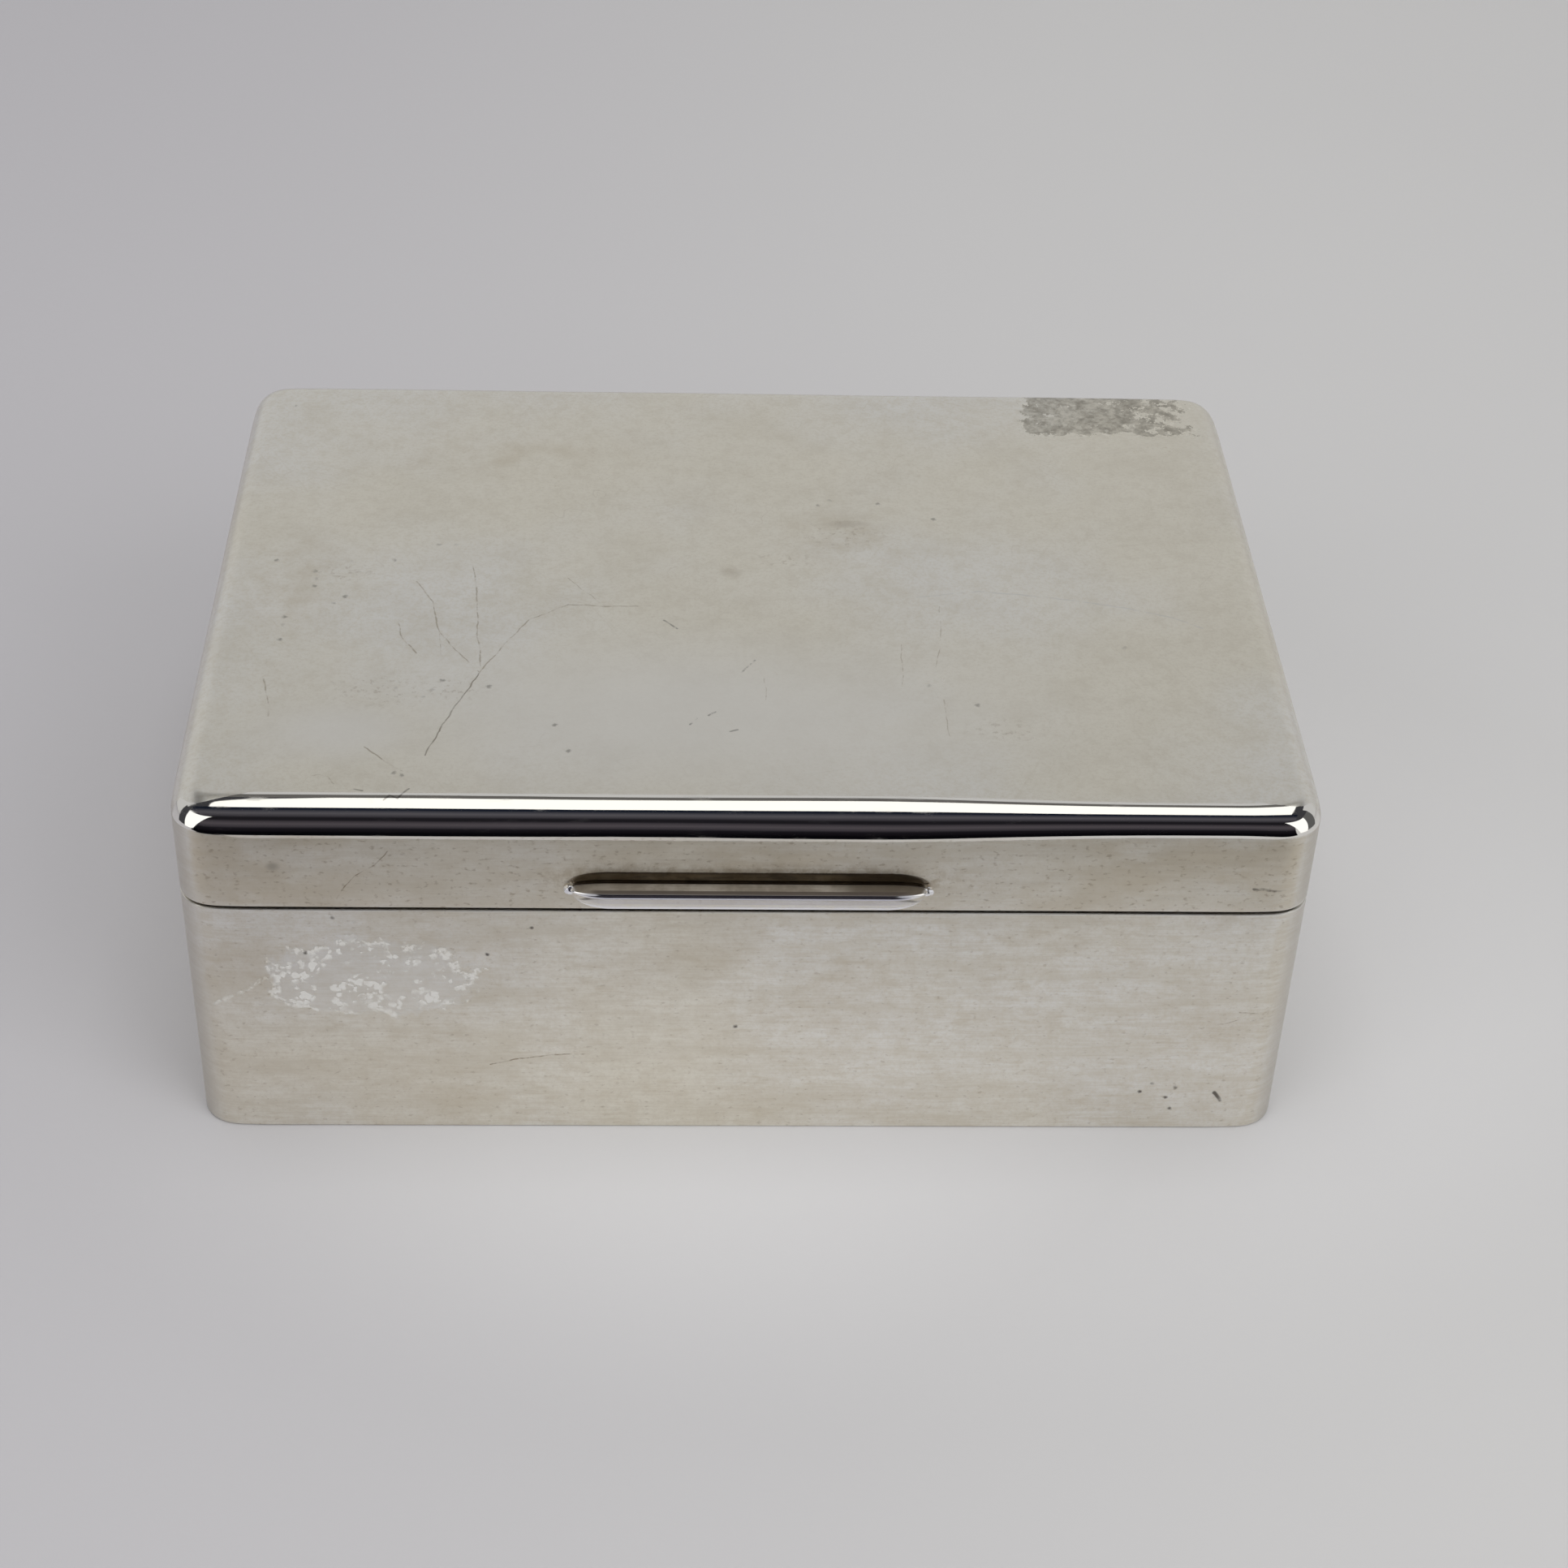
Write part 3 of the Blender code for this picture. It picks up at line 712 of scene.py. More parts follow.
def plain_silver(name):
    """The same silver where no cloth reaches: duller, browner in patches, with file marks."""
    f = Finish(name)
    mottle = f.noise(2.4, 4, 0.6)
    lines = f.streaks((0.03, 1.0, 1.0), 0.2, 3)
    f.colour = f.mix(f.ramp(mottle, 0.35, 0.7), SILVER_COOL, SILVER_DULL)
    f.tint(SILVER_BROWN, f.ramp(f.noise(5.5, 3), 0.5, 0.75), 0.30)
    f.tint(SILVER_DULL, f.ramp(lines, 0.4, 0.7), 0.20)
    f.roughness = f.ramp(mottle, 0.3, 0.8, 0.24, 0.46)
    f.heights = [lines * 0.0006, mottle * 0.004]
    return f.finish()


# Where the film on the ledge changes: along X for its ends, along Y for its root
FILM_RIGHT_RUN = (7.5, 11.0)
FILM_LEFT_RUN = (-15.0, -11.0)
FILM_ROOT_RUN = (FRONT / MM - 0.40, FRONT / MM - 0.18)

# The bands of painted reflection and painted shade across the face, by their girth: colour, strength, where
# each begins and where it ends. The last is a painted dark line along the crisp edge
FACE_PAINTED_BANDS = (
    (FACE_PAINTED_REFLECTION, 0.90, (1.90, 2.20), (4.30, 4.80)),
    (FACE_SHADE, 0.50, (1.70, 1.90), (2.10, 3.30)),
    (DIRT_AND_PAINTED_SHADE, 0.92, (1.34, 1.46), (1.80, 2.05)),
)


def bright_silver(name):
    """The thumb-piece: polished by fingers, with a dull film on the ledge, darkest at the wall, and painted
    reflection and painted shade in bands across its face.
    """
    f = Finish(name)
    mottle = f.noise(1.6, 4, 0.6)
    lines = f.streaks((0.04, 1.0, 1.0), 0.16, 3)
    ledge = f.ramp(f.facing(UP), 0.88, 0.96)
    along = f.along("X")
    f.colour = f.mix(f.ramp(f.noise(2.6, 4, 0.65), 0.35, 0.65), FILM_PALE, FILM_BROWN)
    f.tint(FILM_RIGHT, f.ramp(along, *FILM_RIGHT_RUN), 0.8)
    f.tint(FILM_LEFT, f.fall(along, *FILM_LEFT_RUN), 0.45)
    f.tint(DIRT_AND_PAINTED_SHADE, f.ramp(f.along("Y"), *FILM_ROOT_RUN), 0.9)
    f.tint(FILM_LINES, f.ramp(lines, 0.45, 0.7), 0.35)
    film = f.colour
    f.colour = f.mix(f.ramp(mottle, 0.4, 0.75), FACE_SILVER, SILVER_CLEAN)
    f.tint(film, ledge)
    # The painted bands stop short of the tips, which stay bright as a painted highlight
    straight = f.fall(abs(along) - THUMB_STRAIGHT / MM, 1.0, 2.6)
    girth = f.attribute(GIRTH)
    for colour, strength, begin, end in FACE_PAINTED_BANDS:
        f.tint(colour, f.ramp(girth, *begin), f.fall(girth, *end), straight, strength)
    f.roughness = f.ramp(mottle, 0.3, 0.8, 0.08, 0.16) + ledge * 0.30
    f.metallic = f.ramp(ledge, 0.0, 1.0, 1.0, 0.2)
    f.heights = [lines * 0.0015, mottle * 0.003]
    return f.finish()


def drawn_steel(name):
    f = Finish(name)
    mottle = f.noise(0.9, 4, 0.6)
    f.colour = f.mix(f.ramp(mottle, 0.35, 0.7), STEEL_PALE, STEEL_BROWN)
    f.roughness = f.ramp(mottle, 0.3, 0.8, 0.28, 0.5)
    f.heights = [f.streaks((0.02, 1.0, 1.0), 0.06, 3) * 0.001]
    return f.finish()


CEDAR_PALE = (0.47, 0.235, 0.115)
CEDAR_RED = (0.33, 0.145, 0.070)
CEDAR_DARK = (0.17, 0.068, 0.033)


def cedar(name, grain_axis, shift):
    """Plain cedar with its grain along one axis: growth lines, fine fibres and short pores."""
    f = Finish(name)
    moved = f.vector("ADD", f.place, shift)

    def drawn_out(share):
        return f.vector("MULTIPLY", moved, [share if axis == grain_axis else 1.0 for axis in "XYZ"])

    grown = drawn_out(0.045)
    bands = f.noise(2.6, 5, place=grown, distortion=0.5)
    fibres = f.noise(0.22, 3, 0.65, drawn_out(0.02))
    pores = f.ramp(f.noise(0.30, 2, place=drawn_out(0.16)), 0.64, 0.71)
    f.colour = f.mix(f.ramp(bands, 0.38, 0.62), CEDAR_PALE, CEDAR_RED)
    f.tint(CEDAR_DARK, f.ramp(f.noise(9, 2, place=grown), 0.45, 0.7), 0.4)
    f.tint(CEDAR_RED, f.ramp(fibres, 0.40, 0.66), 0.45)
    f.tint(CEDAR_DARK, pores, 0.7)
    f.roughness = f.ramp(fibres, 0.3, 0.7, 0.52, 0.68)
    f.metallic = 0.0
    f.heights = [fibres * 0.02, pores * -0.05, bands * 0.03]
    return f.finish()


def new_object(name, bm, material):
    bmesh.ops.recalc_face_normals(bm, faces=bm.faces)
    mesh = bpy.data.meshes.new(name)
    bm.to_mesh(mesh)
    bm.free()
    mesh.materials.append(material)
    return in_scene(name, mesh)


def shade(obj):
    """Smooth faces, sharp arrises, and flat faces that keep their own normals."""
    obj.data.shade_smooth()
    obj.data.set_sharp_from_angle(angle=SHARP_ANGLE)
    obj.modifiers.new("weighted", "WEIGHTED_NORMAL").keep_sharp = True


# The notch of both back walls that the hinge strips stand in
NOTCH_LOW = Vector((-HINGE_HALF - NOTCH_MARGIN, DEPTH / 2 - GAUGE - MM, SEAM - STRIP_FACE - NOTCH_MARGIN))
NOTCH_HIGH = Vector((HINGE_HALF + NOTCH_MARGIN, DEPTH / 2 + MM, SEAM + STRIP_FACE + NOTCH_MARGIN))


def notch(obj):
    """Takes the notch away from a wall for good."""
    bm = bmesh.new()
    bmesh.ops.create_cube(bm, size=1)
    stretched = Matrix.Diagonal((*(NOTCH_HIGH - NOTCH_LOW), 1))
    bm.transform(Matrix.Translation((NOTCH_HIGH + NOTCH_LOW) / 2) @ stretched)
    cutter = new_object("cutter", bm, obj.data.materials[0])
    assign(obj.modifiers.new("notch", "BOOLEAN"), operation="DIFFERENCE", solver="EXACT", object=cutter)
    bpy.context.view_layer.update()
    graph = bpy.context.evaluated_depsgraph_get()
    cut = obj.evaluated_get(graph)
    mesh = bpy.data.meshes.new_from_object(cut, preserve_all_data_layers=True, depsgraph=graph)
    obj.modifiers.clear()
    obj.data = mesh
    bpy.data.objects.remove(cutter, do_unlink=True)


def stand_for(node, bm, material, notched=False):
    """A finer piece in the place of a CAD node, on the same body."""
    obj = new_object(f"{node}_fine", bm, material)
    if notched:
        notch(obj)
    shade(obj)
    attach(obj, BODY_OF[node])
    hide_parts(node)


def smooth(share):
    share = min(max(share, 0.0), 1.0)
    return share * share * (3 - 2 * share)


def corner_path():
    """Place and outward direction at each step round the right back corner, from side to back."""
    place = Vector((0, 0, 0))
    points = []
    count = CORNER_STEPS * CORNER_FINENESS
    for step in range(count + 1):
        share = step / count
        tight = smooth((share - 0.5) * CORNER_RUN / CORNER_TIGHT_RUN + 0.5)
        angle = math.radians(90) * (CORNER_TIGHT_SHARE * tight + (1 - CORNER_TIGHT_SHARE) * smooth(share))
        if step % CORNER_FINENESS == 0:
            points.append((place.copy(), Vector((math.cos(angle), math.sin(angle), 0))))
        place += Vector((-math.sin(angle), math.cos(angle), 0)) * CORNER_RUN / count
    return points


CORNER = corner_path()
CORNER_EXTENT = CORNER[-1][0].y
HALF_X = WIDTH / 2 - CORNER_EXTENT
HALF_Y = DEPTH / 2 - CORNER_EXTENT
COUNT_X = round(2 * HALF_X / SIDE_SPACING)
COUNT_Y = round(2 * HALF_Y / SIDE_SPACING)


def outline():
    """Place and outward direction of each point round the box: four corners, and the sides between."""
    corners = ((HALF_X, HALF_Y), (-HALF_X, HALF_Y), (-HALF_X, -HALF_Y), (HALF_X, -HALF_Y))
    points = []
    for number, corner in enumerate(corners):
        spin = Matrix.Rotation(math.radians(90) * number, 3, "Z")
        anchor = Vector((*corner, 0))
        following = Vector((*corners[(number + 1) % 4], 0))
        for place, outward in CORNER:
            points.append((anchor + spin @ (Vector((CORNER_EXTENT, 0, 0)) + place), spin @ outward))
        outward = spin @ Vector((0, 1, 0))
        count = COUNT_X if number % 2 == 0 else COUNT_Y
        for step in range(1, count):
            points.append((anchor.lerp(following, step / count) + outward * CORNER_EXTENT, outward))
    return points


OUTLINE = outline()


def ring(reach, height):
    """The outline at a height, moved out by a reach, which is less than 0 inside it."""
    return [place + outward * reach + Vector((0, 0, height)) for place, outward in OUTLINE]


def arc(centre, radius, first, last, steps):
    """(across, up) pairs round a centre. 0 degrees is outwards and 90 up."""
    angles = [math.radians(first + (last - first) * step / steps) for step in range(steps + 1)]
    return [(centre[0] + radius * math.cos(angle), centre[1] + radius * math.sin(angle)) for angle in angles]


def skin(bm, loops, closed=False):
    pairs = list(zip(loops, loops[1:]))
    if closed:
        pairs.append((loops[-1], loops[0]))
    for low, high in pairs:
        for i in range(len(low)):
            j = (i + 1) % len(low)
            bm.faces.new((low[i], low[j], high[j], high[i]))


def lofted(rings, closed):
    """A skin over rings. It is closed by going back to the first ring, or else by two end faces."""
    bm = bmesh.new()
    loops = [[bm.verts.new(point) for point in points] for points in rings]
    skin(bm, loops, closed)
    if not closed:
        bm.faces.new(loops[0])
        bm.faces.new(loops[-1])
    return bm


def pave(bm, loop, height):
    """Closes a ring of the outline with a grid of squares over the flat inside it."""
    grid = {}
    for i in range(COUNT_X + 1):
        for j in range(COUNT_Y + 1):
            x = HALF_X - 2 * HALF_X * i / COUNT_X
            y = HALF_Y - 2 * HALF_Y * j / COUNT_Y
            grid[i, j] = bm.verts.new((x, y, height))
    for i in range(COUNT_X):
        for j in range(COUNT_Y):
            bm.faces.new((grid[i, j], grid[i + 1, j], grid[i + 1, j + 1], grid[i, j + 1]))
    edge = []
    corners = ((0, 0), (COUNT_X, 0), (COUNT_X, COUNT_Y), (0, COUNT_Y))
    for (i, j), (end_i, end_j) in zip(corners, corners[1:] + corners[:1]):
        edge += [(i, j)] * (CORNER_STEPS + 1)
        count = abs(end_i - i) + abs(end_j - j)
        edge += [(i + (end_i - i) * n // count, j + (end_j - j) * n // count) for n in range(1, count)]
    for i in range(len(loop)):
        j = (i + 1) % len(loop)
        if edge[i] == edge[j]:
            bm.faces.new((loop[i], loop[j], grid[edge[i]]))
        else:
            bm.faces.new((loop[i], loop[j], grid[edge[j]], grid[edge[i]]))


def side_band():
    """The silver wall, its rim and foot eased inside and out."""
    profile = arc((-BASE_EDGE_RADIUS, BASE_EDGE_RADIUS), BASE_EDGE_RADIUS, -90, 0, BASE_STEPS)
    profile += [(0, BODY_RIM * share) for share in WALL_ROWS]
    profile += arc((-RIM_EASE, BODY_RIM - RIM_EASE), RIM_EASE, 0, 90, EASE_STEPS)
    profile += arc((RIM_EASE - GAUGE, BODY_RIM - RIM_EASE), RIM_EASE, 90, 180, EASE_STEPS)
    profile += arc((SOLDER_GAP - GAUGE, SOLDER_GAP), SOLDER_GAP, 180, 270, EASE_STEPS)
    bm = lofted([ring(*pair) for pair in profile], closed=True)
    stand_for("side_band", bm, worn_silver("silver_body", body_marks), notched=True)


def base_plate():
    """The sheet inside the foot of the wall, with eased edges."""
    edge = -GAUGE - 2 * SOLDER_GAP
    profile = arc((edge, SOLDER_GAP), SOLDER_GAP, -90, 0, EASE_STEPS)
    profile += arc((edge, GAUGE - SOLDER_GAP), SOLDER_GAP, 0, 90, EASE_STEPS)
    bm = bmesh.new()
    loops = [[bm.verts.new(point) for point in ring(*pair)] for pair in profile]
    skin(bm, loops)
    pave(bm, loops[0], 0)
    pave(bm, loops[-1], GAUGE)
    stand_for("base_plate", bm, worn_silver("silver_base"))


def edge_radius(place):
    """The rounded edge is fuller at the front left than at the front right, and even elsewhere."""
    turn = smooth((place.x - EDGE_TURN_FROM) / (EDGE_TURN_TO - EDGE_TURN_FROM))
    front = EDGE_RADIUS_LEFT + (EDGE_RADIUS_RIGHT - EDGE_RADIUS_LEFT) * turn
    front += EDGE_CORNER_SWELL * smooth((place.x - EDGE_CORNER_FROM) / (WIDTH / 2 - EDGE_CORNER_FROM))
    return front + (LID_EDGE_RADIUS - front) * smooth((place.y - FRONT) / EDGE_SETTLE)


def polish_at(place, angle):
    """How polished the rounded edge is at an angle from the wall. It's narrower at the corners."""
    start, end = POLISH_RIGHT if place.x > 0 else POLISH_LEFT
    corner = smooth((abs(place.x) - start) / (end - start))
    head = smooth((POLISH_HEAD - POLISH_HEAD_DROP * corner - angle) / POLISH_FADE + 0.5)
    foot = smooth((angle - POLISH_FOOT_RISE * corner) / POLISH_FADE + 1.0)
    return head * foot * (1 - smooth((place.y - FRONT - POLISH_FROM) / (POLISH_TO - POLISH_FROM)))


def lid_profile(place, outward):
    """(point, polish) pairs over the shell at one place of the outline, from inside the top to outside."""
    radius = edge_radius(place)
    foot = TOP - radius
    plain = arc((-radius, foot), radius - GAUGE, 90, 0, EDGE_STEPS)
    plain += arc((RIM_EASE - GAUGE, LID_RIM + RIM_EASE), RIM_EASE, 180, 270, EASE_STEPS)
    plain += arc((-RIM_EASE, LID_RIM + RIM_EASE), RIM_EASE, -90, 0, EASE_STEPS)
    plain += [(0, LID_RIM + (foot - LID_RIM) * share) for share in LID_WALL_ROWS]
    rows = [(pair, 0.0) for pair in plain]
    rows += [((0, foot - drop * MM), polish * polish_at(place, 0)) for drop, polish in SWAGE_BELOW]
    swell = WOBBLE * noise.noise(place / WOBBLE_LENGTH)
    for step in range(EDGE_STEPS + 1):
        turn = 90 * step / EDGE_STEPS
        angle = math.radians(turn)
        fuller = radius + swell * math.sin(2 * angle)
        pair = (fuller * math.cos(angle) - radius, foot + fuller * math.sin(angle))
        rows.append((pair, polish_at(place, turn)))
    rows += [((-radius - gap * MM, TOP), polish * polish_at(place, 90)) for gap, polish in SWAGE_ABOVE]
    return [(place + outward * reach + Vector((0, 0, height)), polish) for (reach, height), polish in rows]


def lid_shell():
    """The lid, raised from one sheet. Its rounded edge isn't quite even, as on any piece finished by hand."""
    bm = bmesh.new()
    layer = bm.verts.layers.float.new(POLISH)
    loops = []
    for row in zip(*[lid_profile(place, outward) for place, outward in OUTLINE]):
        loops.append([bm.verts.new(point) for point, polish in row])
        for vert, (point, polish) in zip(loops[-1], row):
            vert[layer] = polish
    skin(bm, loops)
    pave(bm, loops[0], TOP - GAUGE)
    pave(bm, loops[-1], TOP)
    stand_for("lid_shell", bm, worn_silver("silver_lid", lid_marks), notched=True)


def thumb_outline():
    """(reach, height) pairs round a cut of the thumb-piece: groove, ledge, crisp edge, hollow face."""
    pairs = [(-THUMB_BACK, THUMB_HEIGHT - THUMB_GROOVE)]
    pairs += [(reach, THUMB_HEIGHT - THUMB_GROOVE * share) for reach, share in THUMB_GROOVE_RISE]
    first, last = THUMB_EDGE_ANGLES
    edge_height = THUMB_HEIGHT - THUMB_FALL - THUMB_EDGE * math.sin(math.radians(first))
    edge = arc((THUMB_REACH - THUMB_EDGE, edge_height), THUMB_EDGE, first, last, THUMB_EDGE_STEPS)
    ledge_end = edge[0][0]
    pairs += [(ledge_end * share, THUMB_HEIGHT - THUMB_FALL * share**1.5) for share in (0.25, 0.5, 0.75)]
    pairs += edge
    face_reach, face_top = edge[-1]
    for step in range(1, THUMB_FACE_STEPS + 1):
        share = 1 - step / THUMB_FACE_STEPS
        reach = (face_reach + THUMB_FOOT_BACK) * share**THUMB_UNDERCUT - THUMB_FOOT_BACK
        pairs.append((reach, THUMB_FOOT + (face_top - THUMB_FOOT) * share))
    pairs.append((-THUMB_BACK, THUMB_FOOT))
    return pairs


def thumb_piece():
    """The bar that lifts the lid, drawn in to a tip at both ends. Each point knows its girth."""
    pairs = thumb_outline()
    sections = []
    for step in range(THUMB_END_STEPS):
        angle = math.radians(90) * step / THUMB_END_STEPS
        size = math.cos(angle)
        x = THUMB_STRAIGHT + THUMB_END * math.sin(angle)
        points = []
        for reach, height in pairs:
            eased = THUMB_TIP_HEIGHT + (height - THUMB_TIP_HEIGHT) * size
            points.append(Vector((x, THUMB_WALL - (reach * size if reach > 0 else reach), LID_RIM + eased)))
        sections.append(points)
    tip = Vector((THUMB_LENGTH / 2, THUMB_WALL, LID_RIM + THUMB_TIP_HEIGHT))
    backs = [THUMB_BACK if point.y > THUMB_WALL else 0 for point in sections[0]]
    sections.append([tip + Vector((0, back, 0)) for back in backs])
    middle = [[Vector((THUMB_STRAIGHT * share, p.y, p.z)) for p in sections[0]] for share in (-0.5, 0, 0.5)]
    mirrored = [[Vector((-p.x, p.y, p.z)) for p in section] for section in reversed(sections)]
    bm = lofted(mirrored + middle + sections, closed=False)
    layer = bm.verts.layers.float.new(GIRTH)
    girths = [0.0]
    for first, second in zip(pairs, pairs[1:]):
        girths.append(girths[-1] + math.dist(first, second) / MM)
    for number, vert in enumerate(bm.verts):
        vert[layer] = girths[number % len(pairs)]
    bmesh.ops.remove_doubles(bm, verts=bm.verts, dist=MERGE_DISTANCE)
    bmesh.ops.dissolve_degenerate(bm, edges=bm.edges, dist=MERGE_DISTANCE)
    silver = bright_silver("silver_thumb")
    stand_for("thumb_piece", bm, silver)
    solder_bead("solder_left", -1, silver)
    solder_bead("solder_right", 1, silver)


def solder_bead(name, side, material):
    """The lump of solder at one tip of the thumb-piece, half sunk in the wall."""
    height = LID_RIM + THUMB_TIP_HEIGHT - BEAD_DROP
    middle = Vector((side * (THUMB_LENGTH / 2 - BEAD_INSET), THUMB_WALL, height))
    rings = []
    for j in range(1, BEAD_STEPS):
        polar = math.radians(180) * j / BEAD_STEPS
        along, size = math.cos(polar), math.sin(polar)
        points = []
        for i in range(BEAD_STEPS * 2):
            turn = math.radians(180) * i / BEAD_STEPS
            way = Vector((along, size * math.cos(turn), size * math.sin(turn)))
            swell = 1 + BEAD_LUMP * noise.noise(way / BEAD_LUMP_LENGTH + Vector((side, 0, 0)))
            points.append(middle + Vector(BEAD_RADII) * way * swell)
        rings.append(points)
    obj = new_object(name, lofted(rings, closed=False), material)
    shade(obj)
    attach(obj, "lid")


def turned(pairs, along=0.0):
    """Rings about the hinge axis at (along, radius) pairs, moved along it."""
    rings = []
    for start, radius in pairs:
        circle = arc((0, 0), radius, 0, 360, TURNED_STEPS)[:-1]
        rings.append([HINGE_PLACE + Vector((along + start, y, z)) for y, z in circle])
    return rings


def both_ends(pairs):
    """(along, radius) pairs of one end of a turned piece, after the same for its other end."""
    return [(-along, radius) for along, radius in reversed(pairs)] + pairs


def hinge(material, steel):
    """The finer hinge: strips with filed edges, bored knuckles with eased ends, and the domed pin."""
    pitch = 2 * HINGE_HALF / KNUCKLE_COUNT
    half = (pitch - KNUCKLE_GAP) / 2
    bore = PIN_RADIUS + PIN_CLEARANCE
    eased = arc((half - KNUCKLE_EASE, KNUCKLE_RADIUS - KNUCKLE_EASE), KNUCKLE_EASE, 90, 0, EASE_STEPS)
    knuckle = both_ends(eased) + [(half, bore), (-half, bore)]
    for number in range(KNUCKLE_COUNT):
        node = f"{'lid' if number % 2 else 'box'}_knuckle_{number // 2 + 1}"
        stand_for(node, lofted(turned(knuckle, pitch * (number + 0.5) - HINGE_HALF), closed=True), material)
    reach = HINGE_HALF - KNUCKLE_GAP / 2
    dome = [(reach - PIN_DOME * back, PIN_RADIUS * size) for back, size in PIN_END]
    stand_for("hinge_pin", lofted(turned(both_ends(dome)), closed=False), steel)
    hinge_strip("box_hinge_strip", -1, material)
    hinge_strip("lid_hinge_strip", 1, material)


def hinge_strip(node, side, material):
    """One hinge strip: its leg inside the wall, its face in the notch, and its lip over the knuckles."""
    half_gap = (LID_RIM - BODY_RIM) / 2
    face_top = STRIP_FACE + NOTCH_MARGIN - SOLDER_GAP
    wall = -HINGE_SETBACK - SOLDER_GAP
    cover_start = math.degrees(math.acos(-HINGE_SETBACK / LIP_RADIUS))
    cover = arc((0, 0), LIP_RADIUS, cover_start, LIP_ANGLE, GROOVE_STEPS)
    groove_end = 180 - math.degrees(math.asin(half_gap / GROOVE_RADIUS))
    section = [(-STRIP_INNER, half_gap), (-STRIP_INNER, STRIP_LEG), (-WALL_INNER, STRIP_LEG)]
    section += [(-WALL_INNER, face_top), (wall, face_top), (wall, cover[0][1] + SOLDER_GAP)]
    section += cover + arc((0, 0), GROOVE_RADIUS, LIP_ANGLE, groove_end, GROOVE_STEPS)
    half = HINGE_HALF + NOTCH_MARGIN - SOLDER_GAP
    rings = [[HINGE_PLACE + Vector((x, y, side * z)) for y, z in section] for x in (-half, half)]
    stand_for(node, lofted(rings, closed=False), material)


CEDAR_BEVEL = 0.25 * MM
CEDAR_BEVEL_ANGLE = math.radians(40)
CEDAR_WELD = 0.001 * MM
BOARD_SHIFT = Vector((37, 53, 71))


def dress_boards():
    """The cedar boards keep their solids, with rubbed arrises and a grain of their own."""
    boards = [node for node, slot in SLOT_OF.items() if slot == "cedar"]
    for number, node in enumerate(boards):
        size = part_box(node)[1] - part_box(node)[0]
        obj = NODES[node]
        obj.data.materials.clear()
        grain_axis = "X" if size.x > size.y else "Y"
        obj.data.materials.append(cedar(f"cedar_{node}", grain_axis, BOARD_SHIFT * number))
        obj.modifiers.new("weld", "WELD").merge_threshold = CEDAR_WELD
        bevel = obj.modifiers.new("eased", "BEVEL")
        assign(bevel, width=CEDAR_BEVEL, segments=3, limit_method="ANGLE", angle_limit=CEDAR_BEVEL_ANGLE)
        obj.modifiers.new("weighted", "WEIGHTED_NORMAL").keep_sharp = False


# The table, with painted light: darker towards the left, paler towards the right, and a painted pool of light
# round the front of the box. The places are in millimetres
FLOOR_HALF = 4.0
FLOOR_SHADED_LEFT = (0.480, 0.470, 0.492)
FLOOR_LIT_RIGHT = (0.565, 0.560, 0.560)
FLOOR_CLOUD = (0.50, 0.49, 0.50)
FLOOR_PAINTED_LIGHT = (0.680, 0.675, 0.685)
FLOOR_TURN = (-130, 90)
PAINTED_LIGHT_FRONT_RADII = (76, 44, 44)
PAINTED_LIGHT_SIDES = (22, -12, 0)
PAINTED_LIGHT_SIDES_RADII = (98, 74, 74)


def add_floor():
    f = Finish("table_paper")
    # Painted light: the table is darker towards the left and paler towards the right
    f.colour = f.mix(f.ramp(f.along("X"), *FLOOR_TURN), FLOOR_SHADED_LEFT, FLOOR_LIT_RIGHT)
    f.tint(FLOOR_CLOUD, f.ramp(f.noise(45, 3), 0.35, 0.7), 0.05)
    # A painted pool of light on the table round the front and sides of the box
    painted_light_front = f.spot((0, FRONT / MM, 0), PAINTED_LIGHT_FRONT_RADII, 0.0)
    painted_light_sides = f.spot(PAINTED_LIGHT_SIDES, PAINTED_LIGHT_SIDES_RADII, 0.55) * 0.42
    f.tint(FLOOR_PAINTED_LIGHT, f.most((painted_light_front, painted_light_sides)))
    fibres = f.noise(0.7, 4, 0.7)
    f.roughness = f.ramp(fibres, 0.3, 0.7, 0.62, 0.8)
    f.metallic = 0.0
    f.heights = [fibres * 0.012]
    f.feed(f.shader.inputs["Specular IOR Level"], 0.1)
    material = f.finish()
    bm = bmesh.new()
    corners = ((-1, -1), (1, -1), (1, 1), (-1, 1))
    bm.faces.new([bm.verts.new((x * FLOOR_HALF, y * FLOOR_HALF, 0)) for x, y in corners])
    new_object("floor", bm, material)


WORLD_COLOUR = (1.0, 0.995, 0.99, 1.0)
WORLD_STRENGTH = 0.55


def add_world():
    world = bpy.data.worlds.new("world")
    bpy.context.scene.world = world
    world.use_nodes = True
    background = world.node_tree.nodes["Background"]
    background.inputs["Color"].default_value = WORLD_COLOUR
    background.inputs["Strength"].default_value = WORLD_STRENGTH
    world.cycles.sampling_method = "NONE"


def towards(azimuth, elevation):
    """A direction. Azimuth 0 is to the front of the box and 90 to its right."""
    a, e = math.radians(azimuth), math.radians(elevation)
    return Vector((math.sin(a) * math.cos(e), -math.cos(a) * math.cos(e), math.sin(e)))


# Square lamps: azimuth, elevation and distance, what they are aimed at, side and power
LAMPS = (
    ("overhead", 0, 84, 1.0, (0, 0, 0), 0.6, 2.4),
    ("right_window", 46, 36, 1.6, (0, 0, 0), 0.9, 6.0),
    ("left_window", -42, 36, 1.6, (0, 0, 0), 0.9, 3.0),
    ("front_fill", 8, 42, 0.62, (0, -0.05, 0), 0.3, 0.30),
)


